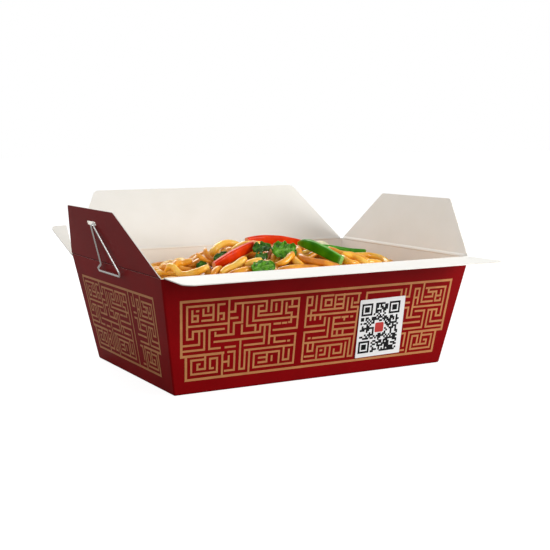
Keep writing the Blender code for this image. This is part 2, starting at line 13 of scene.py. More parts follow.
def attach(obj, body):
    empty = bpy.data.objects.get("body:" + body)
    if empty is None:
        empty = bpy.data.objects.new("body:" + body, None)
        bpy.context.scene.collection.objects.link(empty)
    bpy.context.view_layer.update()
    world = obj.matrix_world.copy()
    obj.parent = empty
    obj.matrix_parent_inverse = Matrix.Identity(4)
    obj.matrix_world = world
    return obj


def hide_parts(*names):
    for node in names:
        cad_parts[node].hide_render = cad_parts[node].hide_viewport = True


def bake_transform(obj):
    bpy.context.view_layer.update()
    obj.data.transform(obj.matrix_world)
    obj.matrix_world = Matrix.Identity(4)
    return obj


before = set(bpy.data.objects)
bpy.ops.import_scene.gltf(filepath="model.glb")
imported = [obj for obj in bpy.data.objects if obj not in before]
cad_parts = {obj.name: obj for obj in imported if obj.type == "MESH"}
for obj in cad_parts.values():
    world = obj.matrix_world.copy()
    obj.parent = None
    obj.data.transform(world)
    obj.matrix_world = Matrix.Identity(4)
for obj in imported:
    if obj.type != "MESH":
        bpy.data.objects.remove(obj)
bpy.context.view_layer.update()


# Carton walls
# One sheet of coated paperboard, printed red outside and bare white inside, folded up into a
# tray with sloping walls. Its cut edge and the free corner of a folded web stay white.
RIM_LENGTH = 0.196
RIM_WIDTH = 0.140
RIM_HEIGHT = 0.0645
BASE_LENGTH = 0.173
BASE_WIDTH = 0.1145
BOARD = 0.0005
FOLD_RADIUS = 0.001
CREASE_SETBACK = 0.00045
CORNER_SETBACK = 0.0015
BACK_ANGLE = 53.5
PRINT_RED = (0.27, 0.0012, 0.003)
# Much darker red of the crease grooves: painted shade in the groove.
PRINT_RED_DEEP = (0.225, 0.001, 0.0025)
PRINT_RED_GROOVE_SHADE = (0.05, 0.002, 0.004)
BOARD_WHITE = (0.92, 0.91, 0.87)
BOARD_CREAM = (0.89, 0.88, 0.83)
WEB_TIP = 0.0085
WEB_RISE = 0.0198
WEB_ROOT = 0.0020
WEB_ANCHOR = 0.007
WEB_CORNER = 0.0024


def add_node(tree, kind, values=None, links=None, **settings):
    """New node with its settings, socket values and incoming links."""
    node = tree.nodes.new(kind)
    for key, value in settings.items():
        setattr(node, key, value)
    for key, value in (values or {}).items():
        node.inputs[key].default_value = value
    for key, source in (links or {}).items():
        tree.links.new(source, node.inputs[key])
    return node


def new_finish(name, roughness, specular=0.5, metallic=0.0, coat=0.0, coat_roughness=0.1):
    material = bpy.data.materials.new(name)
    material.use_nodes = True
    shader = material.node_tree.nodes["Principled BSDF"]
    shader.inputs["Roughness"].default_value = roughness
    shader.inputs["Specular IOR Level"].default_value = specular
    shader.inputs["Metallic"].default_value = metallic
    shader.inputs["Coat Weight"].default_value = coat
    shader.inputs["Coat Roughness"].default_value = coat_roughness
    return material, material.node_tree, shader


def object_noise(tree, scale, detail=2.0, stretch=(1, 1, 1)):
    """Noise fixed to the piece, in cycles per metre."""
    place = add_node(tree, "ShaderNodeTexCoord")
    scaled = add_node(tree, "ShaderNodeMapping", {"Scale": stretch}, {"Vector": place.outputs["Object"]})
    return add_node(tree, "ShaderNodeTexNoise", {"Scale": scale, "Detail": detail},
                    {"Vector": scaled.outputs["Vector"]}).outputs["Fac"]


def colour_between(tree, factor, stops):
    """Colour ramp over a factor: stops are (position, colour)."""
    ramp = add_node(tree, "ShaderNodeValToRGB", links={"Fac": factor})
    elements = ramp.color_ramp.elements
    while len(elements) < len(stops):
        elements.new(0.5)
    for element, (position, colour) in zip(elements, stops):
        element.position = position
        element.color = (*colour, 1.0)
    return ramp.outputs["Color"]


def add_bump(tree, shader, height, distance):
    bump = add_node(tree, "ShaderNodeBump", {"Distance": distance}, {"Height": height})
    tree.links.new(bump.outputs["Normal"], shader.inputs["Normal"])


def board_finish(name, dark, light, roughness, specular, grain):
    """Paperboard: slow uneven ink or pulp, and a fine fibre grain."""
    material, tree, shader = new_finish(name, roughness, specular)
    cloud = object_noise(tree, 55, 3.0)
    tree.links.new(colour_between(tree, cloud, ((0.3, dark), (0.7, light))), shader.inputs["Base Color"])
    add_bump(tree, shader, object_noise(tree, 1900, 3.0, (1, 0.6, 1)), grain)
    return material


printed_board = board_finish("printed_red_board", PRINT_RED_DEEP, PRINT_RED, 0.40, 0.09, 0.00002)
# Finish of the crease grooves: the print darkened to painted shade.
groove_shade_board = board_finish("red_board_painted_groove_shade", PRINT_RED_GROOVE_SHADE, PRINT_RED_GROOVE_SHADE, 0.6, 0.1, 0.00002)
bare_board = board_finish("bare_white_board", BOARD_CREAM, BOARD_WHITE, 0.5, 0.4, 0.00003)
cut_board = board_finish("cut_board_edge", (0.78, 0.74, 0.68), (0.92, 0.90, 0.86), 0.8, 0.2, 0.00006)


def plain_mesh(item):
    """The object's evaluated shape as a plain mesh in place of its data and modifiers."""
    bpy.context.view_layer.update()
    shape = item.evaluated_get(bpy.context.evaluated_depsgraph_get())
    mesh = bpy.data.meshes.new_from_object(shape)
    mesh.transform(item.matrix_world)
    mesh.name = item.name
    name = item.name
    bpy.data.objects.remove(item)
    result = bpy.data.objects.new(name, mesh)
    bpy.context.scene.collection.objects.link(result)
    return result


def object_from(name, bm, *materials):
    mesh = bpy.data.meshes.new(name)
    bm.to_mesh(mesh)
    bm.free()
    for material in materials:
        mesh.materials.append(material)
    item = bpy.data.objects.new(name, mesh)
    bpy.context.scene.collection.objects.link(item)
    return item


def folded_board(name, bm, offset):
    """Gives an open sheet, its normals on the printed side, the board's thickness and cut edge."""
    sheet = object_from(name, bm, printed_board, bare_board, cut_board)
    thickness = sheet.modifiers.new("board", "SOLIDIFY")
    thickness.thickness = BOARD
    thickness.offset = offset
    thickness.use_even_offset = True
    thickness.material_offset = 1
    thickness.material_offset_rim = 2
    return plain_mesh(sheet)


def box_half(z):
    """Half length and half width of the outside of the carton at height z."""
    t = z / RIM_HEIGHT
    half_x = (BASE_LENGTH + (RIM_LENGTH - BASE_LENGTH) * t) / 2
    half_y = (BASE_WIDTH + (RIM_WIDTH - BASE_WIDTH) * t) / 2
    return half_x, half_y


def tray_sheet():
    bm = bmesh.new()
    bmesh.ops.create_cube(bm, size=1)
    for vert in bm.verts:
        z = RIM_HEIGHT - CREASE_SETBACK if vert.co.z > 0 else 0.0
        half_x, half_y = box_half(z)
        vert.co = (math.copysign(half_x, vert.co.x), math.copysign(half_y, vert.co.y), z)
    top = [face for face in bm.faces if face.normal.z > 0.9]
    bmesh.ops.delete(bm, geom=top, context="FACES_ONLY")
    folds = [edge for edge in bm.edges if not edge.is_boundary]
    bmesh.ops.bevel(bm, geom=folds, offset=FOLD_RADIUS, segments=5, profile=0.5, affect="EDGES")
    return bm


def web_sheet():
    """Free corner of the folded web, in the plane of the back flap, root in the back wall."""
    lean = math.radians(BACK_ANGLE)
    wall = Vector((0, (BASE_WIDTH - RIM_WIDTH) / 2, -RIM_HEIGHT)).normalized()
    rise = Vector((0, math.cos(lean), math.sin(lean)))
    side = Vector((-1, 0, 0))
    corner = Vector((-RIM_LENGTH / 2 + CORNER_SETBACK - CREASE_SETBACK, RIM_WIDTH / 2, RIM_HEIGHT))
    tip = WEB_TIP + CORNER_SETBACK - CREASE_SETBACK
    outline = [
        corner - side * WEB_ANCHOR / 2 + wall * WEB_ANCHOR,
        corner - side * WEB_ANCHOR + wall * WEB_ANCHOR,
        corner,
        corner + rise * WEB_RISE,
        corner + side * (tip - WEB_CORNER) + rise * WEB_RISE,
        corner + side * (tip - WEB_CORNER / 4) + rise * (WEB_RISE - WEB_CORNER / 4),
        corner + side * tip + rise * (WEB_RISE - WEB_CORNER),
        corner + side * WEB_ROOT,
    ]
    bm = bmesh.new()
    verts = [bm.verts.new(point) for point in outline]
    bm.faces.new((verts[0], verts[1], verts[2], verts[7]))
    bm.faces.new(verts[2:])
    bmesh.ops.recalc_face_normals(bm, faces=bm.faces[:])
    if bm.faces[:][1].normal.y < 0:
        bmesh.ops.reverse_faces(bm, faces=bm.faces[:])
    return bm


carton = folded_board("carton_walls", tray_sheet(), -1.0)
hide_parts("box")
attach(carton, "root")

web = folded_board("folded_web_corner", web_sheet(), 0.0)
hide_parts("box")
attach(web, "root")


# Printed fret
# A traditional fret in pale gold ink on all four walls. Each wall's pattern is drawn as runs
# of straight lines on a lattice that fans out a little with the slope of the walls.
FRET_STEP = (0.00345, 0.00338)
FRET_MIDDLE_ROW = 6.5
FRET_LINE = 0.00116
FRET_FRAME_LINE = 0.0014
FRET_LIFT = 0.00004
FRET_CROSSING_LIFT = 0.00001
FRET_GOLD = (0.64, 0.28, 0.105)
FRET_GOLD_DEEP = (0.54, 0.23, 0.085)
FRET_LEFT = """
h 3.9 3.3 5.7 .85 1.4 6.15 2.35 4.95 4.25 8.1 .6; v 3.4 4.95 7.2 .65; h 1.45 4.1 8.1
v 2.25 1.6 3.3 3.15 2.4 2.25; h 3 1.65 3.2; v 4.05 1.5 2.45 5.7; v 4.85 .85 1.8; h 7.5 .85 6.5 3.4
h 6.5 2.35 7.45 3.3 7.1; v 8.3 0 6; h 8.3 2.25 9.35 .95 14.7 2.6 13.35; h 14 1.7 13.35 3.3 17.4 .95
h 8.7 3.3 9.75; v 10.6 .95 4.15 9.2 6 6.1 5.5; h 7.5 4.95 5.1 8.1 6.9; h 6 7 14.6
v 11.45 1.7 4.85 12.95 6; v 12.5 1.7 4.1 20.25; v 10.6 4.7 6.05 13.8 4.95 15.5 8.2
v 14.6 4.95 8.1 11.2; h 7.9 8.1 9.5; v 10.45 7 12.1 11.3 8.95 20.2; v 12.1 8.95 13
v 15.55 2.7 .95 20.4 6 16.2; v 16.4 1.6 2.6; v 18.2 1.6 3.3 19.25 4.9 18.9; v 19.2 1 1.9
h 18.75 2.3 20.3; h 16.3 4.95 17.3; h 17.8 4.95 18.4; h 15.8 7 20.25 12.1 12.95 9.75 17.5 12.1
v 16.5 7 8.1 18.4; h 19 8.1 19.2; h 13.9 10.55 15.3; v 15.3 9.75 11.35 13.85; v 16.2 10.5 11.2
v 18.3 8.95 11.35 19.3 9.7; v 7.4 9 13; v 4.45 9 11.35 3.15 10.5 3.5
h 4.45 9.75 2.1 12.1 6.5 9.75 5.3 11.4 5.8; h 8.4 8.95 9.5 12.1 7.9; v 8.5 9.7 11.3; h 7.7 10.55 8.5
"""
FRET_CENTRE = """
v 25.5 4.8 6.05 21.9 .95 22.8 2.35 22.1; v 23.6 .9 3.3 22.8 4.9; h 22 4.15 31.5; v 23.6 4.15 4.9
v 24.6 4.15 4.9; h 26.6 .95 24.5 3.35 28.7 .95; h 25.3 1.7 26.4 2.65 25.3 1.7; v 27.1 3.35 1 31.7
h 27.7 1.75 28.7; h 27.1 2.6 28.7; v 29.5 1.7 4.15; v 30.3 1.8 3.35 31.6; v 31.5 1 2.6 30.8
v 31.6 3.35 12.1 30.8 8.9 21.9; h 28.3 4.95 27.2 8.15 31.6; h 28.8 4.95 29.8; v 29.2 4.95 5.4
h 30.5 5 30.7; h 27.2 6.05 31.6; h 27.2 7 31.6; v 28.1 7 8.15; v 29.2 7 8.15
v 26.3 4.95 8.15 23.6; h 22.8 8.1 23; h 25.6 7 21.9 12.1 30.05 9.6; v 22.8 8.95 10.4 23.75 8.95
h 22.4 11.3 24; v 24.6 12.1 9.75 29.3 11.3 27.9 10.6; v 26.2 9.75 11.3 25.3; h 25.3 10.5 25.5
v 27.1 9.75 12.1
"""
FRET_RIGHT = """
v 40.65 1 2.4 41.5 0; h 40.7 3.5 41.7; h 40.7 4.4 41.75 6.25 44.4; v 43.4 3.8 1.1 42.55 6.25
h 42.55 2.7 43.4; v 44.2 0 3.6 46.4; h 44.8 1.15 48.75 6.4 47.8 5.2 46.05 8.3 49.3
v 45.3 1.15 1.9 46.3 2.75 44.85; h 46.3 1.9 47 3.6 48.05 3.3; v 47.95 1.8 2.7 47; h 42.6 4.4 48.75
v 46.85 5.2 7.4 49.25; h 43.35 5.2 45.2 8.3 41.6; h 41 7.2 44.5; v 42.85 9.1 13; h 41.1 9.1 42 11.4
h 41.3 12.2 42.2; v 45.55 9.1 11.45; h 45.55 9.8 47.7 12.2 43.65 9.8 44.8 11.4
h 44.3 11.45 46.8 10.7 46.3
"""
FRET_BY_LABEL = "v 33 2.2 1.05 39.8 2.2; h 33 12.1 40"
FRET_DIVIDER = "v 21.6 0 13"
LONG_FRAME = "h .45 0 49.65 9.05 42.85; v .45 0 9 7.5; v 48.45 9.05 13 1.2 9"
SHORT_FRAME = "h .45 0 31.95 9.05 25.1; v .45 0 9 7.5; v 30.75 9.05 13 1.2 9"
BACK_SECOND_SHIFT = 9.2
SHORT_END_SHIFT = -17.7
LONG_START = (0.0119, 0.0136)
LEFT_START = (0.0140, 0.0128)
RIGHT_START = (0.0204, 0.0128)
LONG_FAN = (25, 0.003)
SHORT_FAN = (16, 0.007)
SHORT_STRETCH = 0.965


def fret_runs(text, shift=0.0):
    """Corner points of each run: they go by turns along (h) and down (v) from the first point."""
    runs = []
    for run in text.strip().replace("\n", ";").split(";"):
        words = run.split()
        along_next = words[0] == "h"
        u, v = float(words[1]), float(words[2])
        points = [(u + shift, v)]
        for word in words[3:]:
            if along_next:
                u = float(word)
            else:
                v = float(word)
            along_next = not along_next
            points.append((u + shift, v))
        runs.append(points)
    return runs


def new_geometry_tree(name, inputs):
    """Empty Geometry Nodes tree with a geometry input and output and the named inputs."""
    tree = bpy.data.node_groups.new(name, "GeometryNodeTree")
    tree.interface.new_socket("Geometry", in_out="INPUT", socket_type="NodeSocketGeometry")
    for label, kind in inputs:
        tree.interface.new_socket(label, in_out="INPUT", socket_type="NodeSocket" + kind)
    tree.interface.new_socket("Geometry", in_out="OUTPUT", socket_type="NodeSocketGeometry")
    return tree, tree.nodes.new("NodeGroupInput").outputs, tree.nodes.new("NodeGroupOutput").inputs


def finish_tree(tree, geometry, group_in, group_out):
    real = add_node(tree, "GeometryNodeRealizeInstances", links={"Geometry": geometry})
    painted = add_node(tree, "GeometryNodeSetMaterial",
                       links={"Geometry": real.outputs["Geometry"], "Material": group_in["Material"]})
    tree.links.new(painted.outputs["Geometry"], group_out["Geometry"])


def run_tree(item, tree, **values):
    """Runs a Geometry Nodes tree on an object and leaves the result as its plain mesh."""
    modifier = item.modifiers.new("nodes", "NODES")
    modifier.node_group = tree
    for socket in tree.interface.items_tree:
        if socket.name in values:
            modifier[socket.identifier] = values[socket.name]
    return plain_mesh(item)


def ink_line_tree():
    """Lays a flat bar of ink along every edge of a drawing in the XY plane.

    Bars that run down lie a hair higher than those that run along, so that none share a plane.
    """
    tree, given, result = new_geometry_tree(
        "ink_lines", (("Width", "Float"), ("Lift", "Float"), ("Material", "Material")))
    ends = add_node(tree, "GeometryNodeInputMeshEdgeVertices")
    run = add_node(tree, "ShaderNodeVectorMath", operation="SUBTRACT",
                   links={0: ends.outputs["Position 2"], 1: ends.outputs["Position 1"]})
    kept = add_node(tree, "GeometryNodeCaptureAttribute", links={"Geometry": given["Geometry"]},
                    domain="EDGE")
    kept.capture_items.new("VECTOR", "Run")
    tree.links.new(run.outputs["Vector"], kept.inputs["Run"])
    middle = add_node(tree, "GeometryNodeMeshToPoints", links={"Mesh": kept.outputs["Geometry"]},
                      mode="EDGES")
    length = add_node(tree, "ShaderNodeVectorMath", operation="LENGTH", links={0: kept.outputs["Run"]})
    overlap = add_node(tree, "ShaderNodeMath", operation="ADD",
                       links={0: length.outputs["Value"], 1: given["Width"]})
    size = add_node(tree, "ShaderNodeCombineXYZ", {"Z": 1.0},
                    {"X": overlap.outputs["Value"], "Y": given["Width"]})
    turn = add_node(tree, "FunctionNodeAlignRotationToVector", links={"Vector": kept.outputs["Run"]},
                    axis="X")
    parts = add_node(tree, "ShaderNodeSeparateXYZ", links={"Vector": kept.outputs["Run"]})
    down = add_node(tree, "ShaderNodeMath", operation="ABSOLUTE", links={0: parts.outputs["Y"]})
    over = add_node(tree, "ShaderNodeMath", {1: FRET_STEP[1] / 20}, {0: down.outputs["Value"]},
                    operation="GREATER_THAN")
    lift = add_node(tree, "ShaderNodeMath", {1: FRET_CROSSING_LIFT}, operation="MULTIPLY_ADD",
                    links={0: over.outputs["Value"], 2: given["Lift"]})
    raised = add_node(tree, "ShaderNodeCombineXYZ", links={"Z": lift.outputs["Value"]})
    placed = add_node(tree, "GeometryNodeSetPosition",
                      links={"Geometry": middle.outputs["Points"], "Offset": raised.outputs["Vector"]})
    bar = add_node(tree, "GeometryNodeMeshGrid",
                   {"Size X": 1.0, "Size Y": 1.0, "Vertices X": 2, "Vertices Y": 2})
    bars = add_node(tree, "GeometryNodeInstanceOnPoints",
                    links={"Points": placed.outputs["Geometry"], "Instance": bar.outputs["Mesh"],
                           "Rotation": turn.outputs["Rotation"], "Scale": size.outputs["Vector"]})
    finish_tree(tree, bars.outputs["Instances"], given, result)
    return tree


gold_ink, gold_tree, gold_shader = new_finish("gold_fret_ink", 0.38, 0.3, metallic=0.15)
gold_tree.links.new(
    colour_between(gold_tree, object_noise(gold_tree, 140, 3.0), ((0.3, FRET_GOLD_DEEP), (0.7, FRET_GOLD))),
    gold_shader.inputs["Base Color"])
add_bump(gold_tree, gold_shader, object_noise(gold_tree, 2400, 2.0), 0.00002)
ink_lines = ink_line_tree()


def wall_frame(side):
    """Frame on a wall: X to the viewer's right, Y up the slant, Z outward, origin at its top left."""
    half_x, half_y = RIM_LENGTH / 2, RIM_WIDTH / 2
    corner, along, inward = {
        "front": ((-half_x, -half_y), (1, 0), (0, (RIM_WIDTH - BASE_WIDTH) / 2)),
        "right": ((half_x, -half_y), (0, 1), ((BASE_LENGTH - RIM_LENGTH) / 2, 0)),
        "back": ((half_x, half_y), (-1, 0), (0, (BASE_WIDTH - RIM_WIDTH) / 2)),
        "left": ((-half_x, half_y), (0, -1), ((RIM_LENGTH - BASE_LENGTH) / 2, 0)),
    }[side]
    along = Vector((*along, 0))
    up = -Vector((*inward, -RIM_HEIGHT)).normalized()
    turn = Matrix((along, up, along.cross(up))).transposed().to_4x4()
    return Matrix.Translation((*corner, RIM_HEIGHT)) @ turn


def print_fret(side, runs, frame_runs, start, fanning, stretch=1.0):
    """Prints the runs on a wall, start metres in from its top left corner.

    They fan out around a middle column, by a share for each row.
    """
    middle, fan = fanning
    for name, lines, width in (("fret_" + side, runs, FRET_LINE),
                               ("fret_frame_" + side, frame_runs, FRET_FRAME_LINE)):
        bm = bmesh.new()
        for points in lines:
            spots = []
            for u, v in points:
                fanned = middle + (u - middle) * (1 - fan * (v - FRET_MIDDLE_ROW))
                x = start[0] + fanned * FRET_STEP[0] * stretch
                spots.append(bm.verts.new((x, -start[1] - v * FRET_STEP[1], 0)))
            for a, b in zip(spots, spots[1:]):
                bm.edges.new((a, b))
        drawing = object_from(name, bm)
        ink = run_tree(drawing, ink_lines, Width=width, Lift=FRET_LIFT, Material=gold_ink)
        ink.data.transform(wall_frame(side))
        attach(ink, "root")


long_frame = fret_runs(LONG_FRAME)
short_frame = fret_runs(SHORT_FRAME)
ends_and_centre = fret_runs(FRET_LEFT) + fret_runs(FRET_CENTRE) + fret_runs(FRET_RIGHT)
front_runs = ends_and_centre + fret_runs(FRET_BY_LABEL)
back_runs = ends_and_centre + fret_runs(FRET_CENTRE, BACK_SECOND_SHIFT)
short_runs = fret_runs(FRET_LEFT) + fret_runs(FRET_RIGHT, SHORT_END_SHIFT) + fret_runs(FRET_DIVIDER)
print_fret("front", front_runs, long_frame, LONG_START, LONG_FAN)
print_fret("back", back_runs, long_frame, LONG_START, LONG_FAN)
print_fret("left", short_runs, short_frame, LEFT_START, SHORT_FAN, SHORT_STRETCH)
print_fret("right", short_runs, short_frame, RIGHT_START, SHORT_FAN, SHORT_STRETCH)


# Flaps
# Four flaps of the same board, cut with slanted ends and rounded corners and creased along the
# rim. They stand open, the left one is slotted for the wire loop, and the right one is a little
# shorter at each side, so that it passes the front one when both are folded in.
FLAPS = {
    "front": {"length": RIM_LENGTH, "reach": 0.031, "chamfer": -0.0024, "corner": 0.0055,
              "angle": 0},
    "back": {"length": RIM_LENGTH, "reach": 0.045, "chamfer": 0.0235, "corner": 0.005,
             "angle": BACK_ANGLE},
    "left": {"length": RIM_WIDTH, "reach": 0.034, "chamfer": 0.032, "corner": 0.003,
             "angle": 68.5},
    "right": {"length": RIM_WIDTH - 0.0012, "reach": 0.034, "chamfer": 0.0314, "corner": 0.003,
              "angle": 70.5},
}
SLOT_LENGTH = 0.0132
SLOT_HEIGHT = 0.0026
SLOT_ALONG = 0.0055
SLOT_UP = 0.0248


def crease_frame(side):
    """Frame on a crease: X along it, Y out along the flap, Z to the inner face."""
    yaw, centre = {
        "front": (180, (0, -RIM_WIDTH / 2, RIM_HEIGHT)),
        "back": (0, (0, RIM_WIDTH / 2, RIM_HEIGHT)),
        "left": (90, (-RIM_LENGTH / 2, 0, RIM_HEIGHT)),
        "right": (-90, (RIM_LENGTH / 2, 0, RIM_HEIGHT)),
    }[side]
    lean = Matrix.Rotation(math.radians(FLAPS[side]["angle"]), 4, "X")
    return Matrix.Translation(centre) @ Matrix.Rotation(math.radians(yaw), 4, "Z") @ lean


def rounded(corners, radii, steps=6):
    """Outline through the corners, each replaced by an arc of its radius."""
    points = []
    count = len(corners)
    for i, (corner, radius) in enumerate(zip(corners, radii)):
        here = Vector(corner)
        to_last = (Vector(corners[i - 1]) - here).normalized()
        to_next = (Vector(corners[(i + 1) % count]) - here).normalized()
        if radius <= 0.0:
            points.append(here)
            continue
        half = to_last.angle(to_next) / 2
        centre = here + (to_last + to_next).normalized() * radius / math.sin(half)
        start = here + to_last * radius / math.tan(half) - centre
        end = here + to_next * radius / math.tan(half) - centre
        sweep = start.angle(end)
        for k in range(steps + 1):
            t = k / steps
            arm = (start * math.sin((1 - t) * sweep) + end * math.sin(t * sweep)) / math.sin(sweep)
            points.append(centre + arm)
    return points


def flap_sheet(shape, slotted):
    half = shape["length"] / 2 - CORNER_SETBACK
    corners = [
        (-half, CREASE_SETBACK), (half, CREASE_SETBACK),
        (half - shape["chamfer"], shape["reach"]), (-half + shape["chamfer"], shape["reach"]),
    ]
    outlines = [rounded(corners, (0, 0, shape["corner"], shape["corner"]))]
    if slotted:
        a = SLOT_LENGTH / 2
        b = SLOT_HEIGHT / 2
        hole = [(SLOT_ALONG + sx * a, SLOT_UP + sy * b) for sx, sy in ((-1, -1), (1, -1), (1, 1), (-1, 1))]
        outlines.append(rounded(hole, [b * 0.95] * 4))
    bm = bmesh.new()
    edges = []
    for outline in outlines:
        verts = [bm.verts.new(point.to_3d()) for point in outline]
        edges += [bm.edges.new((a, b)) for a, b in zip(verts, verts[1:] + verts[:1])]
    bmesh.ops.triangle_fill(bm, use_beauty=True, use_dissolve=False, edges=edges)
    for face in bm.faces:
        face.normal_update()
        if face.normal.z > 0:
            face.normal_flip()
    return bm


for side, shape in FLAPS.items():
    sheet = flap_sheet(shape, side == "left")
    bmesh.ops.transform(sheet, matrix=crease_frame(side), verts=sheet.verts[:])
    flap = folded_board("flap_board_" + side, sheet, 0.0)
    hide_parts("flap_" + side)
    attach(flap, side + "_flap")


# Creases
# The board is pressed along each fold: a groove on the printed side, and a soft rounded bead
# inside, where the squeezed fibres swell. The bead is bent to the angle its flap stands at.
BEAD_REACH = 0.0011
BEAD_RISE = 0.00012
GROOVE_DEPTH = 0.00012
CREASE_STEPS = 40
# Finish of each facet across a crease: printed, groove, groove, printed, then bare; the groove's dark red is
# painted shade.
FACET_FINISHES = (0, 3, 3, 0)
BARE_FINISH = 1
CUT_FINISH = 2


def crease_section(side):
    """Closed outline of the folded board at a crease, in the crease's own frame (Y, Z)."""
    turn = crease_frame(side).to_3x3().inverted()
    inward = {"front": (0, 1), "back": (0, -1), "left": (1, 0), "right": (-1, 0)}[side]
    slope = (RIM_WIDTH - BASE_WIDTH) / 2 if inward[0] == 0 else (RIM_LENGTH - BASE_LENGTH) / 2
    wall = turn @ Vector((inward[0] * slope, inward[1] * slope, -RIM_HEIGHT)).normalized()
    inside = wall.cross(Vector((1, 0, 0)))
    if inside.dot(turn @ Vector((*inward, 0))) < 0:
        inside = -inside
    flap = Vector((0, 1, 0))
    face = Vector((0, 0, 1))
    half = BOARD / 2
    bisector = (inside + face).normalized()
    outer = [
        wall * BEAD_REACH * 0.6 + inside * GROOVE_DEPTH,
        wall * CREASE_SETBACK * 0.5 + inside * GROOVE_DEPTH,
        bisector * GROOVE_DEPTH * 0.5,
        flap * CREASE_SETBACK * 0.6 - face * (half - GROOVE_DEPTH),
        flap * BEAD_REACH * 0.6 - face * (half - GROOVE_DEPTH),
    ]
    inner = [
        flap * BEAD_REACH + face * (half - 0.00002),
        flap * BEAD_REACH * 0.6 + face * (half + BEAD_RISE * 0.6),
        flap * BEAD_REACH * 0.25 + face * half * 0.6 + bisector * (half * 0.4 + BEAD_RISE),
        wall * BEAD_REACH * 0.25 + inside * half * 1.6 + bisector * (half * 0.4 + BEAD_RISE),
        wall * BEAD_REACH * 0.6 + inside * (BOARD + BEAD_RISE * 0.6),
        wall * BEAD_REACH + inside * (BOARD - 0.00002),
    ]
    return outer, inner, wall


for side, shape in FLAPS.items():
    outer, inner, wall = crease_section(side)
    half = shape["length"] / 2 - CORNER_SETBACK
    bm = bmesh.new()
    rings = []
    for i in range(CREASE_STEPS + 1):
        x = -half + 2 * half * i / CREASE_STEPS
        rings.append([bm.verts.new((x, p.y, p.z)) for p in outer + inner])
    count = len(outer) + len(inner)
    for ring, after in zip(rings, rings[1:]):
        for k in range(count):
            n = (k + 1) % count
            facet = bm.faces.new((ring[k], ring[n], after[n], after[k]))
            facet.material_index = FACET_FINISHES[k] if k < len(FACET_FINISHES) else BARE_FINISH
            facet.smooth = True
    for ring in (rings[0][::-1], rings[-1]):
        bm.faces.new(ring).material_index = CUT_FINISH
    bmesh.ops.recalc_face_normals(bm, faces=bm.faces[:])
    place = crease_frame(side)
    bmesh.ops.transform(bm, matrix=place, verts=bm.verts[:])
    crease = object_from("crease_" + side, bm, printed_board, bare_board, cut_board, groove_shade_board)
    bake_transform(crease)


# Wire loop
# Bright steel wire bent into a long loop. Its short bar lies in the slot of the left flap, the
# legs pass through and hang down outside, and the rear leg is kinked above the base.
WIRE_RADIUS = 0.0007
LOOP_TOP = 0.0030
LOOP_TOP_ALONG = 0.0017
LOOP_BASE = 0.0348
LOOP_BASE_UP = -0.0044
LOOP_BASE_OUT = 0.0028
LOOP_CRANK = 0.0014
LOOP_SHOULDER = 0.0008
LOOP_KINK = 0.0082
LOOP_KINK_FOOT = 0.0018
LOOP_KINK_HEAD = 0.0050
LOOP_BENDS = (0.0004, 0.0007, 0.0020, 0.0009, 0.0009, 0.0014, 0.0007, 0.0004)
STEEL = (0.97, 0.97, 0.95)
STEEL_DULL = (0.90, 0.90, 0.88)


def loop_points():
    bar = LOOP_TOP / 2
    base = LOOP_BASE / 2
    shoulder = SLOT_UP - LOOP_CRANK * 0.9
    corners = [
        (LOOP_TOP_ALONG - bar, SLOT_UP, 0.0),
        (LOOP_TOP_ALONG - bar - LOOP_SHOULDER, shoulder, -LOOP_CRANK),
        (-base, LOOP_BASE_UP, -LOOP_BASE_OUT),
        (base, LOOP_BASE_UP, -LOOP_BASE_OUT),
        (base, LOOP_BASE_UP + LOOP_KINK_FOOT, -LOOP_BASE_OUT),
        (base - LOOP_KINK, LOOP_BASE_UP + LOOP_KINK_HEAD, -LOOP_BASE_OUT),
        (LOOP_TOP_ALONG + bar + LOOP_SHOULDER, shoulder, -LOOP_CRANK),
        (LOOP_TOP_ALONG + bar, SLOT_UP, 0.0),
    ]
    return rounded(corners, LOOP_BENDS, 8)


steel, steel_tree, steel_shader = new_finish("bright_steel_wire", 0.26, metallic=0.9)
steel_tree.links.new(
    colour_between(steel_tree, object_noise(steel_tree, 420, 3.0), ((0.3, STEEL_DULL), (0.65, STEEL))),
    steel_shader.inputs["Base Color"])
add_bump(steel_tree, steel_shader, object_noise(steel_tree, 1500, 2.0, (1, 1, 0.12)), 0.000004)

wire_curve = bpy.data.curves.new("wire_hanger_loop", "CURVE")
wire_curve.dimensions = "3D"
wire_curve.bevel_depth = WIRE_RADIUS
wire_curve.bevel_resolution = 5
wire_run = wire_curve.splines.new("POLY")
wire_spots = loop_points()
wire_run.points.add(len(wire_spots) - 1)
for point, spot in zip(wire_run.points, wire_spots):
    point.co = (*spot, 1.0)
wire_run.use_cyclic_u = True
wire_curve.materials.append(steel)
wire = bpy.data.objects.new("wire_hanger_loop", wire_curve)
bpy.context.scene.collection.objects.link(wire)
wire.matrix_world = crease_frame("left")
wire = plain_mesh(wire)
wire.data.polygons.foreach_set("use_smooth", [True] * len(wire.data.polygons))
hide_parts("wire_loop")
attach(wire, "loop")


# Label
# A white paper sticker on the front wall with a plain printed block pattern: three framed
# corner squares, a red square in the middle, and blocks laid at random between them.
LABEL_WIDTH = 0.0306
LABEL_HEIGHT = 0.035
LABEL_THICK = 0.0002
LABEL_X = 0.0398
LABEL_DOWN = 0.0385
LABEL_TILT = 1.0
LABEL_GAP = 0.0003
BLOCK_COLUMNS = 25
BLOCK_ROWS = 29
BLOCK = (0.001036, 0.001030)
BLOCK_SEED = 4
BLOCK_SHARE = 0.58
BLOCK_SPREAD = 1.16
BLOCK_SHIFT = 0.0009
BLOCK_LIFT = 0.00002
CORNER_BLOCKS = 7
CLEAR_BLOCKS = 3
PAPER_CORNER = 0.0005
SEAL_HALF = 0.0029
SEAL_CORNER = 0.0008
SEAL_LIFT = 0.00005
SEAL_THICK = 0.00004


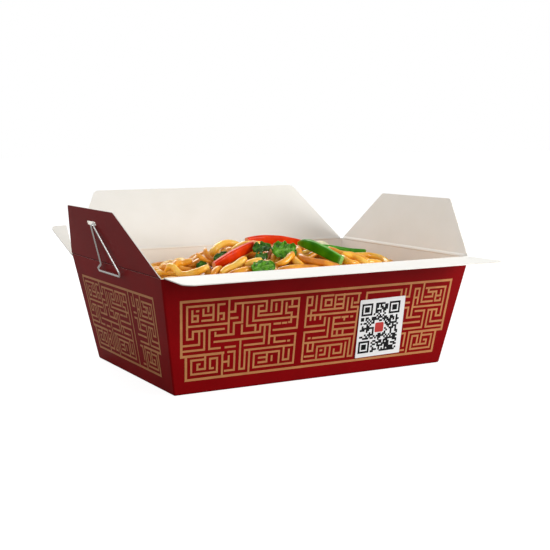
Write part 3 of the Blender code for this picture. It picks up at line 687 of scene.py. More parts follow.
def label_frame():
    up = Vector((0, (BASE_WIDTH - RIM_WIDTH) / 2, RIM_HEIGHT)).normalized()
    along = Vector((1, 0, 0))
    outward = along.cross(up)
    turn = Matrix((along, up, outward)).transposed().to_4x4()
    turn.translation = (Vector((LABEL_X, -RIM_WIDTH / 2, RIM_HEIGHT)) - up * LABEL_DOWN
                        + outward * (LABEL_GAP + LABEL_THICK / 2))
    return turn @ Matrix.Rotation(math.radians(LABEL_TILT), 4, "Z")


def square_ring_dark(i, j):
    """True where a corner square of the pattern is inked: a frame and a solid middle."""
    edge = min(i, j, CORNER_BLOCKS - 1 - i, CORNER_BLOCKS - 1 - j)
    return edge == 0 or edge >= 2


def block_points(rng):
    """Centres of the inked blocks, counted in columns and rows from the top left."""
    spots = []
    far_i = BLOCK_COLUMNS - CORNER_BLOCKS
    far_j = BLOCK_ROWS - CORNER_BLOCKS
    for j in range(BLOCK_ROWS):
        for i in range(BLOCK_COLUMNS):
            inked = rng.random() < BLOCK_SHARE
            for ci, cj in ((0, 0), (far_i, 0), (0, far_j)):
                if -1 <= i - ci <= CORNER_BLOCKS and -1 <= j - cj <= CORNER_BLOCKS:
                    inked = (0 <= i - ci < CORNER_BLOCKS and 0 <= j - cj < CORNER_BLOCKS
                             and square_ring_dark(i - ci, j - cj))
            if max(abs(i - BLOCK_COLUMNS // 2), abs(j - BLOCK_ROWS // 2)) <= CLEAR_BLOCKS:
                inked = False
            if inked:
                spots.append((i, j))
    return spots


def block_tree():
    """Puts one flat inked block on every point."""
    tree, given, result = new_geometry_tree("ink_blocks", (("Size", "Vector"), ("Material", "Material")))
    block = add_node(tree, "GeometryNodeMeshGrid",
                     {"Size X": 1.0, "Size Y": 1.0, "Vertices X": 2, "Vertices Y": 2})
    spots = add_node(tree, "GeometryNodeMeshToPoints", links={"Mesh": given["Geometry"]})
    blocks = add_node(tree, "GeometryNodeInstanceOnPoints",
                      links={"Points": spots.outputs["Points"], "Instance": block.outputs["Mesh"],
                             "Scale": given["Size"]})
    finish_tree(tree, blocks.outputs["Instances"], given, result)
    return tree


def rounded_plate(half_x, half_y, radius, z, thick):
    """Flat plate with rounded corners, its top at z."""
    corners = [(-half_x, -half_y), (half_x, -half_y), (half_x, half_y), (-half_x, half_y)]
    bm = bmesh.new()
    top = [bm.verts.new((p.x, p.y, z)) for p in rounded(corners, [radius] * 4, 4)]
    low = [bm.verts.new((v.co.x, v.co.y, z - thick)) for v in top]
    bm.faces.new(top)
    bm.faces.new(low[::-1])
    for k in range(len(top)):
        n = (k + 1) % len(top)
        bm.faces.new((top[k], low[k], low[n], top[n]))
    bmesh.ops.recalc_face_normals(bm, faces=bm.faces[:])
    return bm


label_paper = board_finish("label_paper", (0.86, 0.87, 0.88), (0.93, 0.94, 0.95), 0.45, 0.35, 0.00002)
black_ink = board_finish("label_black_ink", (0.006, 0.006, 0.007), (0.016, 0.016, 0.018), 0.5, 0.15,
                         0.00002)
red_ink = board_finish("label_red_ink", (0.50, 0.03, 0.03), (0.62, 0.06, 0.05), 0.5, 0.3, 0.00002)

paper_plate = rounded_plate(LABEL_WIDTH / 2, LABEL_HEIGHT / 2, PAPER_CORNER, LABEL_THICK / 2, LABEL_THICK)
label = object_from("label_sticker", paper_plate, label_paper)
label.data.transform(label_frame())
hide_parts("label")
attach(label, "root")

block_sheet = bmesh.new()
for i, j in block_points(random.Random(BLOCK_SEED)):
    block_sheet.verts.new(((i - (BLOCK_COLUMNS - 1) / 2) * BLOCK[0] - BLOCK_SHIFT,
                           ((BLOCK_ROWS - 1) / 2 - j) * BLOCK[1], LABEL_THICK / 2 + BLOCK_LIFT))
blocks = run_tree(object_from("label_blocks", block_sheet), block_tree(),
                  Size=(BLOCK[0] * BLOCK_SPREAD, BLOCK[1] * BLOCK_SPREAD, 1.0), Material=black_ink)
seal_plate = rounded_plate(SEAL_HALF, SEAL_HALF, SEAL_CORNER, LABEL_THICK / 2 + SEAL_LIFT, SEAL_THICK)
seal = object_from("label_red_square", seal_plate, red_ink)
seal.data.transform(Matrix.Translation((-BLOCK_SHIFT, 0, 0)))
for inked in (blocks, seal):
    inked.data.transform(label_frame())
    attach(inked, "root")


# Bed of the heap
# The noodles deeper down, which lie in the dark sauce. They are one body with an uneven top a
# few millimetres under the noodles that show. Their colour is sauce brown and painted shade:
# darker than the noodles above, for the shade deep in the heap.
HEAP_FOOT = -0.011
HEAP_RISE = 0.018
HEAP_CENTRE_X = 0.004
HEAP_SPREAD_X = 0.062
HEAP_SPREAD_Y = 0.048
HEAP_FALL = 2.4
CORE_DEPTH = 0.0026
CORE_DENTS = 0.0005
BED_DEPTH = 0.0078
BED_DENTS = 0.0014
BED_COLUMNS = 110
BED_ROWS = 80
BED_LIFT = 0.0003
INNER_GAP = 0.00082
NOODLE_RADIUS = 0.0021


def heap_top(x, y):
    """Mean height of the heap: a broad mound that falls below the rim at the walls."""
    fall_x = (abs(x - HEAP_CENTRE_X) / HEAP_SPREAD_X) ** HEAP_FALL
    fall_y = (abs(y) / HEAP_SPREAD_Y) ** HEAP_FALL
    return RIM_HEIGHT + HEAP_FOOT + HEAP_RISE * math.exp(-fall_x - fall_y)


def core_top(x, y):
    return heap_top(x, y) - CORE_DEPTH + CORE_DENTS * noise.noise(Vector((x, y, 0)) * 70)


def bed_top(x, y):
    return heap_top(x, y) - BED_DEPTH + BED_DENTS * noise.noise(Vector((x, y, 3)) * 160)


def bed_sheet():
    """The bed's uneven top, and its sides and underside against the walls and the base."""
    bm = bmesh.new()
    grid = []
    for j in range(BED_ROWS + 1):
        row = []
        for i in range(BED_COLUMNS + 1):
            u = 2 * i / BED_COLUMNS - 1
            v = 2 * j / BED_ROWS - 1
            half_x, half_y = box_half(RIM_HEIGHT + HEAP_FOOT)
            z = bed_top(u * half_x, v * half_y)
            half_x, half_y = box_half(z)
            row.append(bm.verts.new((u * (half_x - INNER_GAP), v * (half_y - INNER_GAP), z)))
        grid.append(row)
    for j in range(BED_ROWS):
        for i in range(BED_COLUMNS):
            bm.faces.new((grid[j][i], grid[j][i + 1], grid[j + 1][i + 1], grid[j + 1][i]))
    rim = grid[0][:-1] + [row[-1] for row in grid[:-1]] + grid[-1][:0:-1] + [row[0] for row in grid[:0:-1]]
    foot = BOARD + BED_LIFT
    foot_x, foot_y = box_half(foot)
    low = []
    for vert in rim:
        high_x, high_y = box_half(vert.co.z)
        low.append(bm.verts.new((vert.co.x * (foot_x - INNER_GAP) / (high_x - INNER_GAP),
                                 vert.co.y * (foot_y - INNER_GAP) / (high_y - INNER_GAP), foot)))
    for k in range(len(rim)):
        n = (k + 1) % len(rim)
        bm.faces.new((rim[n], rim[k], low[k], low[n]))
    bm.faces.new(low[::-1])
    bmesh.ops.recalc_face_normals(bm, faces=bm.faces[:])
    for face in bm.faces:
        face.smooth = True
    return bm


# Colour of the bed: sauce brown and painted shade, darker than the noodles that show.
bed_sauce_and_painted_shade, bed_sauce_shade_tree, bed_sauce_shade_shader = new_finish("deep_noodles_sauce_and_painted_shade", 0.35, coat=0.3, coat_roughness=0.2)
bed_sauce_shade_tree.links.new(
    colour_between(bed_sauce_shade_tree, object_noise(bed_sauce_shade_tree, 230, 4.0),
                   ((0.25, (0.16, 0.045, 0.008)), (0.5, (0.34, 0.115, 0.018)),
                    (0.75, (0.50, 0.20, 0.035)))),
    bed_sauce_shade_shader.inputs["Base Color"])
add_bump(bed_sauce_shade_tree, bed_sauce_shade_shader, object_noise(bed_sauce_shade_tree, 320, 3.0), 0.0008)
bed = object_from("bed_of_noodles", bed_sheet(), bed_sauce_and_painted_shade)
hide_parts("noodles")
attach(bed, "root")


# Noodles
# Thick fried wheat noodles, about 4 mm across, glossy with oil and soy. Each one is dropped on
# the heap in turn and rests on what already lies there, and keeps clear of the vegetables.
STRIPS = {
    "red_pepper_front": {
        "width": 0.0064, "thick": 0.004, "ends": (0.62, 0.92),
        "path": ((-0.0465, -0.0235, 0.0038), (-0.037, -0.0205, 0.0044), (-0.026, -0.0165, 0.0046),
                 (-0.0135, -0.011, 0.0046))},
    "red_pepper_back": {
        "width": 0.006, "thick": 0.0036, "ends": (0.85, 0.3),
        "path": ((-0.0095, 0.008, 0.0039), (-0.002, 0.009, 0.0042), (0.005, 0.009, 0.0039),
                 (0.014, 0.008, 0.0035), (0.0225, 0.006, 0.0031), (0.03, 0.002, 0.0031))},
    "green_pepper_front": {
        "width": 0.0066, "thick": 0.0044, "ends": (0.25, 0.85),
        "path": ((0.02, -0.0035, 0.0028), (0.0185, -0.017, 0.0044), (0.0215, -0.029, 0.0048),
                 (0.027, -0.0415, 0.0042))},
    "green_pepper_back": {
        "width": 0.0048, "thick": 0.0038, "ends": (0.5, 0.9),
        "path": ((0.036, 0.001, 0.0024), (0.047, 0.002, 0.0026), (0.06, 0.0025, 0.004),
                 (0.0725, 0.0025, 0.0056))},
    "onion": {
        "width": 0.0034, "thick": 0.003, "ends": (0.6, 0.6),
        "path": ((0.041, 0.01, 0.0046), (0.0455, 0.01, 0.0052), (0.0495, 0.009, 0.0042))},
}
LEAVES = {
    "leaf_dark": ((-0.013, -0.019), 8, 0.0125, 0.0085, 0.005, 25),
    "leaf_bright": ((-0.0035, -0.0285), 10, 0.0165, 0.0115, 0.0058, 40),
    "leaf_front": ((-0.0245, -0.042), 5, 0.015, 0.009, 0.005, 32),
    "leaf_left": ((-0.0355, -0.012), 12, 0.011, 0.0065, 0.0039, 20),
    "leaf_small": ((-0.0495, -0.014), 10, 0.0065, 0.005, 0.004, 25),
    "leaf_middle": ((-0.018, -0.027), 5, 0.0085, 0.0055, 0.0034, 22),
}
KEY_NOODLES = (
    ((-0.068, 0.0095, 0.0016), (-0.0655, 0.0035, 0.002), (-0.0635, -0.0025, 0.002), (-0.061, -0.007, 0.001)),
    ((-0.068, 0.0025, 0.0015), (-0.062, -0.0075, 0.0022), (-0.0585, -0.011, 0.0024),
     (-0.054, -0.013, 0.0018)),
    ((-0.017, -0.0435, 0.0015), (-0.011, -0.044, 0.0025), (-0.003, -0.0445, 0.0027),
     (0.004, -0.0455, 0.0024), (0.011, -0.045, 0.0014)),
    ((-0.001, -0.0295, 0.002), (-0.001, -0.035, 0.003), (-0.001, -0.0395, 0.0028), (0.0005, -0.0425, 0.0016)),
    ((-0.0135, -0.036, 0.0016), (-0.008, -0.0365, 0.0026), (-0.0025, -0.0345, 0.0022),
     (0.003, -0.031, 0.0012)),
    ((0.05, -0.033, 0.0022), (0.0565, -0.0315, 0.0024), (0.064, -0.029, 0.0014)),
    ((-0.0315, -0.032, 0.0028), (-0.0265, -0.032, 0.0033), (-0.0215, -0.0315, 0.0034),
     (-0.016, -0.0305, 0.0032), (-0.012, -0.0295, 0.002)),
    ((-0.0465, -0.033, 0.002), (-0.043, -0.0315, 0.003), (-0.039, -0.0315, 0.0033), (-0.034, -0.032, 0.003),
     (-0.03, -0.0315, 0.0018)),
    ((-0.0445, -0.037, 0.0018), (-0.0395, -0.038, 0.0028), (-0.0345, -0.0385, 0.0032),
     (-0.029, -0.0375, 0.0024)),
    ((-0.0515, -0.0325, 0.0018), (-0.0495, -0.0305, 0.0032), (-0.0465, -0.0285, 0.0036),
     (-0.043, -0.0265, 0.0026)),
    ((-0.0555, -0.0055, 0.0022), (-0.0525, -0.0075, 0.003), (-0.0465, -0.005, 0.0034),
     (-0.042, -0.001, 0.003)),
    ((-0.066, -0.012, 0.007), (-0.0625, -0.008, 0.0042), (-0.058, -0.0065, 0.003), (-0.053, -0.009, 0.0024)),
    ((-0.07, -0.0095, 0.0012), (-0.0665, -0.0155, 0.002), (-0.062, -0.0205, 0.0029),
     (-0.0565, -0.0245, 0.004), (-0.0515, -0.024, 0.0046), (-0.0465, -0.0205, 0.0042)),
    ((-0.0375, 0.001, 0.002), (-0.036, -0.0015, 0.0054), (-0.0305, 0.002, 0.0066), (-0.024, 0.005, 0.0058),
     (-0.0195, 0.006, 0.0045), (-0.015, 0.004, 0.002)),
    ((-0.028, -0.0085, 0.0026), (-0.025, -0.0085, 0.0042), (-0.021, -0.0075, 0.0052),
     (-0.0155, -0.0055, 0.0046), (-0.0095, -0.0035, 0.0036), (-0.003, -0.003, 0.002)),
    ((-0.0415, -0.002, 0.0092), (-0.0425, -0.005, 0.0066), (-0.0415, -0.0075, 0.0036),
     (-0.04, -0.01, 0.0018)),
    ((-0.0495, -0.008, 0.0098), (-0.049, -0.011, 0.0072), (-0.0465, -0.0125, 0.0046),
     (-0.044, -0.0145, 0.003)),
    ((0.034, -0.03, 0.0024), (0.032, -0.0365, 0.0032), (0.0335, -0.0405, 0.0032), (0.0405, -0.0395, 0.0018)),
    ((0.036, -0.0285, 0.0024), (0.042, -0.029, 0.0032), (0.0455, -0.034, 0.0029), (0.049, -0.037, 0.0018)),
    ((0.056, -0.008, 0.001), (0.0625, -0.0065, 0.0026), (0.0705, -0.006, 0.0042), (0.076, -0.009, 0.0038),
     (0.077, -0.0145, 0.0022), (0.075, -0.02, 0.001)),
    ((0.01, -0.019, 0.0024), (0.0075, -0.025, 0.0038), (0.0045, -0.0315, 0.004), (0.0035, -0.038, 0.0043),
     (0.007, -0.042, 0.0044), (0.013, -0.044, 0.0042), (0.0185, -0.046, 0.0034), (0.024, -0.046, 0.002)),
)
SLIM_KEYS = (15, 16)
SLIM_SHARE = 0.7
CELL = 0.001
GRID_COLUMNS = 197
GRID_ROWS = 141
NOODLE_STEP = 0.0020
NOODLE_TRIES = 3000
NOODLE_SEED = 7
LONG_TRIES = 0.6
LONG_POINTS = (26, 62)
SHORT_POINTS = (14, 30)
FEWEST_POINTS = 13
MOST_HELD = 0.22
SURFACE_SPARE = 0.0017
SAFE_X = 0.0915
SAFE_Y = 0.0632
FIRST_BEND = 5
MOST_BEND = 11
BEND_CHANGE = 2.6
TURN_BAND = 0.018
HOME_TURN = 0.3
SINK_POINTS = 5
END_SINK = 0.0028


def smooth_path(points, count):
    """Evenly spaced points on a Catmull-Rom curve through the given points."""
    knots = [Vector(p) for p in points]
    knots = [knots[0] * 2 - knots[1]] + knots + [knots[-1] * 2 - knots[-2]]
    fine = []
    for i in range(1, len(knots) - 2):
        a, b, c, d = knots[i - 1:i + 3]
        for k in range(24):
            t = k / 24
            fine.append(0.5 * ((2 * b) + (c - a) * t + (2 * a - 5 * b + 4 * c - d) * t * t
                               + (3 * b - a - 3 * c + d) * t ** 3))
    fine.append(knots[-2])
    lengths = [0.0]
    for p, q in zip(fine, fine[1:]):
        lengths.append(lengths[-1] + (q - p).length)
    result = []
    j = 0
    for k in range(count):
        want = lengths[-1] * k / (count - 1)
        while j < len(lengths) - 2 and lengths[j + 1] < want:
            j += 1
        result.append(fine[j].lerp(fine[j + 1], (want - lengths[j]) / (lengths[j + 1] - lengths[j])))
    return result


def strip_points(strip, count):
    path = [(x, y, core_top(x, y) + lift) for x, y, lift in strip["path"]]
    return smooth_path(path, count)


def leaf_spot(leaf, u, v, curl):
    """Point of a leaf at u along and v across it, both from -1 to 1, raised by its curl."""
    centre, heading, length, width, lift, roll = leaf
    turn = Matrix.Rotation(math.radians(heading), 3, "Z") @ Matrix.Rotation(math.radians(roll), 3, "X")
    spot = turn @ Vector((u * length / 2, v * width / 2, curl))
    x = centre[0] + spot.x
    y = centre[1] + spot.y
    return Vector((x, y, core_top(x, y) + lift + spot.z))


def cells_near(x, y, reach):
    """Grid cells within reach of a point, with their distance from it."""
    i0 = round((x + RIM_LENGTH / 2) / CELL)
    j0 = round((y + RIM_WIDTH / 2) / CELL)
    span = math.ceil(reach / CELL)
    for j in range(max(0, j0 - span), min(GRID_ROWS, j0 + span + 1)):
        for i in range(max(0, i0 - span), min(GRID_COLUMNS, i0 + span + 1)):
            away = math.hypot(i * CELL - RIM_LENGTH / 2 - x, j * CELL - RIM_WIDTH / 2 - y)
            if away <= reach:
                yield i, j, away


def grid_of(height):
    return [[height(i * CELL - RIM_LENGTH / 2, j * CELL - RIM_WIDTH / 2) for i in range(GRID_COLUMNS)]
            for j in range(GRID_ROWS)]


def lower_ceiling(ceiling, point, reach, height):
    for i, j, _ in cells_near(point.x, point.y, reach):
        ceiling[j][i] = min(ceiling[j][i], height)


def wander(rng, start, heading, count):
    """Level path of a noodle that bends slowly and turns back near the walls."""
    x, y = start
    bend = rng.uniform(-FIRST_BEND, FIRST_BEND)
    points = []
    for _ in range(count):
        if abs(x) > SAFE_X or abs(y) > SAFE_Y:
            break
        points.append((x, y))
        bend = max(-MOST_BEND, min(MOST_BEND, bend + rng.uniform(-BEND_CHANGE, BEND_CHANGE)))
        edge = max((abs(x) - SAFE_X + TURN_BAND) / TURN_BAND, (abs(y) - SAFE_Y + TURN_BAND) / TURN_BAND, 0.0)
        home = math.atan2(-y * 2, -x)
        away = (home - heading + math.pi) % (2 * math.pi) - math.pi
        heading += math.radians(bend) + math.copysign(min(abs(away), HOME_TURN), away) * edge
        x += math.cos(heading) * NOODLE_STEP
        y += math.sin(heading) * NOODLE_STEP
    return points


def drop_noodle(flat, level, ceiling):
    """Heights at which a noodle rests on the heap, and the share held down by the ceiling."""
    rest = []
    top = []
    for x, y in flat:
        near = list(cells_near(x, y, NOODLE_RADIUS * 0.8))
        rest.append(max(level[j][i] for i, j, _ in near) + NOODLE_RADIUS * 0.75)
        top.append(min(ceiling[j][i] for i, j, _ in near) - NOODLE_RADIUS)
    heights = list(rest)
    for _ in range(8):
        heights = [max(rest[k] - NOODLE_RADIUS * 0.25,
                       (heights[max(k - 1, 0)] + 2 * heights[k] + heights[min(k + 1, len(flat) - 1)]) / 4)
                   for k in range(len(flat))]
    held = sum(1 for k in range(len(flat)) if heights[k] > top[k] + 0.0004)
    heights = [min(heights[k], top[k]) for k in range(len(flat))]
    for _ in range(3):
        heights = [min(top[k], (heights[max(k - 1, 0)] + 2 * heights[k]
                                + heights[min(k + 1, len(flat) - 1)]) / 4) for k in range(len(flat))]
    for k in range(SINK_POINTS):
        sink = END_SINK * (1 - k / SINK_POINTS) ** 2
        heights[k] -= sink
        heights[-1 - k] -= sink
    return heights, held / len(flat)


def raise_crowns(level, points):
    for point in points:
        for i, j, away in cells_near(point.x, point.y, NOODLE_RADIUS):
            level[j][i] = max(level[j][i], point.z + math.sqrt(NOODLE_RADIUS ** 2 - away ** 2))


def rest_on_keys(points, crowns, ceiling):
    """A listed noodle, lifted over the earlier ones it crosses and kept under the vegetables."""
    heights = []
    top = []
    for point in points:
        near = list(cells_near(point.x, point.y, NOODLE_RADIUS * 0.7))
        heights.append(max([point.z] + [crowns[j][i] + NOODLE_RADIUS * 0.7 for i, j, _ in near]))
        top.append(min(ceiling[j][i] for i, j, _ in near) - NOODLE_RADIUS)
    last = len(points) - 1
    for _ in range(3):
        heights = [(heights[max(k - 1, 0)] + 2 * heights[k] + heights[min(k + 1, last)]) / 4
                   for k in range(last + 1)]
    return [Vector((point.x, point.y, min(heights[k], top[k]))) for k, point in enumerate(points)]


def lay_noodles():
    """All noodles as lists of points, the ones that stand out in the heap last."""
    level = grid_of(bed_top)
    ceiling = grid_of(lambda x, y: RIM_HEIGHT * 2)
    for strip in STRIPS.values():
        for point in strip_points(strip, 40):
            lower_ceiling(ceiling, point, strip["thick"] / 2 + 0.0012, point.z - strip["width"] * 0.42)
    for leaf in LEAVES.values():
        for a in range(-4, 5):
            for b in range(-2, 3):
                point = leaf_spot(leaf, a / 4.4, b / 2.4, 0.0)
                lower_ceiling(ceiling, point, 0.0012, point.z - 0.0005)
    keys = []
    crowns = grid_of(lambda x, y: 0.0)
    open_air = grid_of(lambda x, y: RIM_HEIGHT * 2)
    for index, key in enumerate(KEY_NOODLES):
        spots = [(x, y, core_top(x, y) + lift) for x, y, lift in key]
        length = sum((Vector(p) - Vector(q)).length for p, q in zip(spots, spots[1:]))
        roof = open_air if index in SLIM_KEYS else ceiling
        points = rest_on_keys(smooth_path(spots, round(length / NOODLE_STEP) + 1), crowns, roof)
        keys.append(points)
        raise_crowns(crowns, points)
    for points in keys:
        for point in points:
            lower_ceiling(ceiling, point, NOODLE_RADIUS * 1.1, point.z - NOODLE_RADIUS * 0.6)
    for j in range(GRID_ROWS):
        for i in range(GRID_COLUMNS):
            top = heap_top(i * CELL - RIM_LENGTH / 2, j * CELL - RIM_WIDTH / 2) + SURFACE_SPARE
            ceiling[j][i] = min(ceiling[j][i], top)
    rng = random.Random(NOODLE_SEED)
    laid = []
    for attempt in range(NOODLE_TRIES):
        start = (rng.uniform(-SAFE_X, SAFE_X), rng.uniform(-SAFE_Y, SAFE_Y))
        count = rng.randint(*(LONG_POINTS if attempt < NOODLE_TRIES * LONG_TRIES else SHORT_POINTS))
        flat = wander(rng, start, rng.uniform(0, 2 * math.pi), count)
        if len(flat) < FEWEST_POINTS:
            continue
        heights, held = drop_noodle(flat, level, ceiling)
        if held > MOST_HELD:
            continue
        laid.append([Vector((x, y, z)) for (x, y), z in zip(flat, heights)])
        raise_crowns(level, laid[-1])
    return laid + keys


def strand_tree():
    """Gives every run of edges the round body of a noodle, with small dents."""
    tree, given, result = new_geometry_tree(
        "noodle_strands", (("Radius", "Float"), ("Sides", "Int"), ("Dents", "Float"), ("Seed", "Float"),
                           ("Material", "Material")))
    line = add_node(tree, "GeometryNodeMeshToCurve", links={"Mesh": given["Geometry"]})
    ring = add_node(tree, "GeometryNodeCurvePrimitiveCircle",
                    links={"Resolution": given["Sides"], "Radius": given["Radius"]})
    girth = add_node(tree, "GeometryNodeInputNamedAttribute", {"Name": "girth"}, data_type="FLOAT")
    body = add_node(tree, "GeometryNodeCurveToMesh", {"Fill Caps": True},
                    {"Curve": line.outputs["Curve"], "Profile Curve": ring.outputs["Curve"],
                     "Scale": girth.outputs["Attribute"]})
    uneven = add_node(tree, "ShaderNodeTexNoise", {"Scale": 260.0, "Detail": 1.0}, {"W": given["Seed"]},
                      noise_dimensions="4D")
    depth = add_node(tree, "ShaderNodeMath", {1: -0.5}, {0: uneven.outputs["Fac"]}, operation="ADD")
    normal = add_node(tree, "GeometryNodeInputNormal")
    amount = add_node(tree, "ShaderNodeMath", links={0: depth.outputs["Value"], 1: given["Dents"]},
                      operation="MULTIPLY")
    push = add_node(tree, "ShaderNodeVectorMath", operation="SCALE",
                    links={0: normal.outputs["Normal"], "Scale": amount.outputs["Value"]})
    dented = add_node(tree, "GeometryNodeSetPosition",
                      links={"Geometry": body.outputs["Mesh"], "Offset": push.outputs["Vector"]})
    smooth = add_node(tree, "GeometryNodeSetShadeSmooth", links={"Geometry": dented.outputs["Geometry"]})
    finish_tree(tree, smooth.outputs["Geometry"], given, result)
    return tree


NOODLE_DENTS = 0.0006
NOODLE_SIDES = 10
GIRTHS = (0.90, 1.06)
END_GIRTHS = (0.45, 0.86, 1.0)


def noodle_lines(name, paths, rng):
    """Mesh of edges along the noodles, each point with its noodle's tint and girth.

    Every path comes with its noodle's share of the common girth.
    """
    bm = bmesh.new()
    tint = bm.verts.layers.float.new("tint")
    girth = bm.verts.layers.float.new("girth")
    for path, share in paths:
        own_tint = rng.random()
        own_girth = rng.uniform(*GIRTHS) * share
        last = len(path) - 1
        before = None
        for k, point in enumerate(path):
            vert = bm.verts.new(point)
            end = min(k, last - k)
            vert[girth] = own_girth * END_GIRTHS[min(end, 2)]
            vert[tint] = own_tint
            if before:
                bm.edges.new((before, vert))
            before = vert
    return object_from(name, bm)


noodle_skin, noodle_tree, noodle_shader = new_finish("fried_noodle", 0.34, 0.35,
                                                     coat=0.4, coat_roughness=0.07)
noodle_shader.inputs["Subsurface Weight"].default_value = 0.12
noodle_shader.inputs["Subsurface Radius"].default_value = (1.0, 0.40, 0.06)
noodle_shader.inputs["Subsurface Scale"].default_value = 0.002
patches = object_noise(noodle_tree, 150, 3.0)
own = add_node(noodle_tree, "ShaderNodeAttribute", attribute_name="tint")
spread = add_node(noodle_tree, "ShaderNodeMath", {1: 0.55, 2: -0.275}, {0: own.outputs["Fac"]},
                  operation="MULTIPLY_ADD")
shade = add_node(noodle_tree, "ShaderNodeMath", links={0: patches, 1: spread.outputs["Value"]},
                 operation="ADD")
noodle_tree.links.new(
    colour_between(noodle_tree, shade.outputs["Value"],
                   ((0.15, (0.62, 0.19, 0.010)), (0.40, (0.86, 0.36, 0.018)),
                    (0.62, (0.96, 0.49, 0.035)), (0.85, (0.98, 0.64, 0.12)))),
    noodle_shader.inputs["Base Color"])
add_bump(noodle_tree, noodle_shader, object_noise(noodle_tree, 900, 2.0), 0.00012)

noodle_paths = lay_noodles()
strands = strand_tree()
tint_rng = random.Random(NOODLE_SEED)
first_key = len(noodle_paths) - len(KEY_NOODLES)
shares = [SLIM_SHARE if k - first_key in SLIM_KEYS else 1.0 for k in range(len(noodle_paths))]
noodle_runs = list(zip(noodle_paths, shares))
half_count = len(noodle_runs) // 2
layers = {"noodles_lower": noodle_runs[:half_count], "noodles_upper": noodle_runs[half_count:]}
for name, paths in layers.items():
    heap = run_tree(noodle_lines(name, paths, tint_rng), strands, Radius=NOODLE_RADIUS, Sides=NOODLE_SIDES,
                    Dents=NOODLE_DENTS, Seed=float(NOODLE_SEED), Material=noodle_skin)
    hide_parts("noodles")
    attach(heap, "root")


# Strips of pepper and onion
# Cut strips of red and green pepper and a bit of onion, bowed over the heap. The skin side is
# glossy, and the cut ends and inner side are paler.
STRIP_SIDES = 28
STRIP_RINGS = 44
STRIP_SQUARE = 5.0
STRIP_DENTS = 0.05
STRIP_TRIM = 0.94
STRIP_CUT_TRIM = 0.93
STRIP_FLESH = {
    "red_pepper_front": (0, 0.08),
    "red_pepper_back": (0, 0.03),
    "green_pepper_front": (1, 0.02),
    "green_pepper_back": (1, 0.02),
    "onion": (1, 0.1),
}


def pepper_finish(name, skin_dark, skin, flesh, spots):
    material, tree, shader = new_finish(name, 0.32, 0.08, coat=0.05, coat_roughness=0.05)
    shader.inputs["Subsurface Weight"].default_value = 0.06
    shader.inputs["Subsurface Radius"].default_value = (1.0, 0.5, 0.3)
    shader.inputs["Subsurface Scale"].default_value = 0.0012
    cut = add_node(tree, "ShaderNodeAttribute", attribute_name="cut")
    skin_colour = colour_between(tree, object_noise(tree, spots, 3.0), ((0.3, skin_dark), (0.7, skin)))
    flesh_colour = colour_between(tree, object_noise(tree, 700, 3.0),
                                  ((0.3, tuple(c * 0.82 for c in flesh)), (0.7, flesh)))
    mix = add_node(tree, "ShaderNodeMix", data_type="RGBA", links={0: cut.outputs["Fac"]})
    tree.links.new(skin_colour, mix.inputs[6])
    tree.links.new(flesh_colour, mix.inputs[7])
    tree.links.new(mix.outputs[2], shader.inputs["Base Color"])
    add_bump(tree, shader, object_noise(tree, 420, 2.0), 0.00016)
    return material


STRIP_FINISHES = {
    "red_pepper": pepper_finish("red_pepper_skin", (0.60, 0.022, 0.0), (0.78, 0.050, 0.0),
                                (0.90, 0.38, 0.18), 160),
    "green_pepper": pepper_finish("green_pepper_skin", (0.028, 0.21, 0.001), (0.070, 0.34, 0.003),
                                  (0.26, 0.56, 0.14), 180),
    "onion": pepper_finish("onion_flesh", (0.72, 0.68, 0.42), (0.88, 0.85, 0.66), (0.86, 0.84, 0.66), 300),
}


def strip_mesh(name, strip):
    """Strip with a soft squarish section, carried upright along its path and drawn in at the ends."""
    points = strip_points(strip, STRIP_RINGS)
    side_shown, end_shown = STRIP_FLESH[name]
    last = len(points) - 1
    bm = bmesh.new()
    cut = bm.verts.layers.float.new("cut")
    rings = []
    for k, point in enumerate(points):
        ahead = (points[min(k + 1, last)] - points[max(k - 1, 0)]).normalized()
        side = ahead.cross(Vector((0, 0, 1))).normalized()
        up = side.cross(ahead)
        t = 2 * k / last - 1
        swell = 1 - (1 - strip["ends"][t > 0]) * t * t
        if k in (0, last):
            swell *= STRIP_CUT_TRIM
        ring = []
        for s in range(STRIP_SIDES):
            a = 2 * math.pi * s / STRIP_SIDES
            c, d = math.cos(a), math.sin(a)
            flat = (abs(c) ** STRIP_SQUARE + abs(d) ** STRIP_SQUARE) ** (-1 / STRIP_SQUARE)
            uneven = 1 + STRIP_DENTS * noise.noise(point * 260 + Vector((c, d, 0)))
            arm = side * c * strip["thick"] / 2 + up * d * strip["width"] / 2
            vert = bm.verts.new(point + arm * flat * swell * uneven * STRIP_TRIM)
            edge_share = max(0.0, min(1.0, (d * side_shown - 0.80) * 8)) * 0.7
            end_share = max(0.0, min(1.0, (k / last - 1 + end_shown) * 40 + 0.5))
            vert[cut] = 1.0 if k in (0, last) else max(edge_share, end_share)
            ring.append(vert)
        rings.append(ring)
    for ring, after in zip(rings, rings[1:]):
        for s in range(STRIP_SIDES):
            n = (s + 1) % STRIP_SIDES
            bm.faces.new((ring[s], ring[n], after[n], after[s]))
    for ring in (rings[0], rings[-1]):
        bm.faces.new(ring)
    bmesh.ops.recalc_face_normals(bm, faces=bm.faces[:])
    for face in bm.faces:
        face.smooth = len(face.verts) == 4
    return bm


for name, strip in STRIPS.items():
    finish = name.replace("_front", "").replace("_back", "")
    piece = object_from("strip_" + name, strip_mesh(name, strip), STRIP_FINISHES[finish])
    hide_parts(name)
    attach(piece, "root")


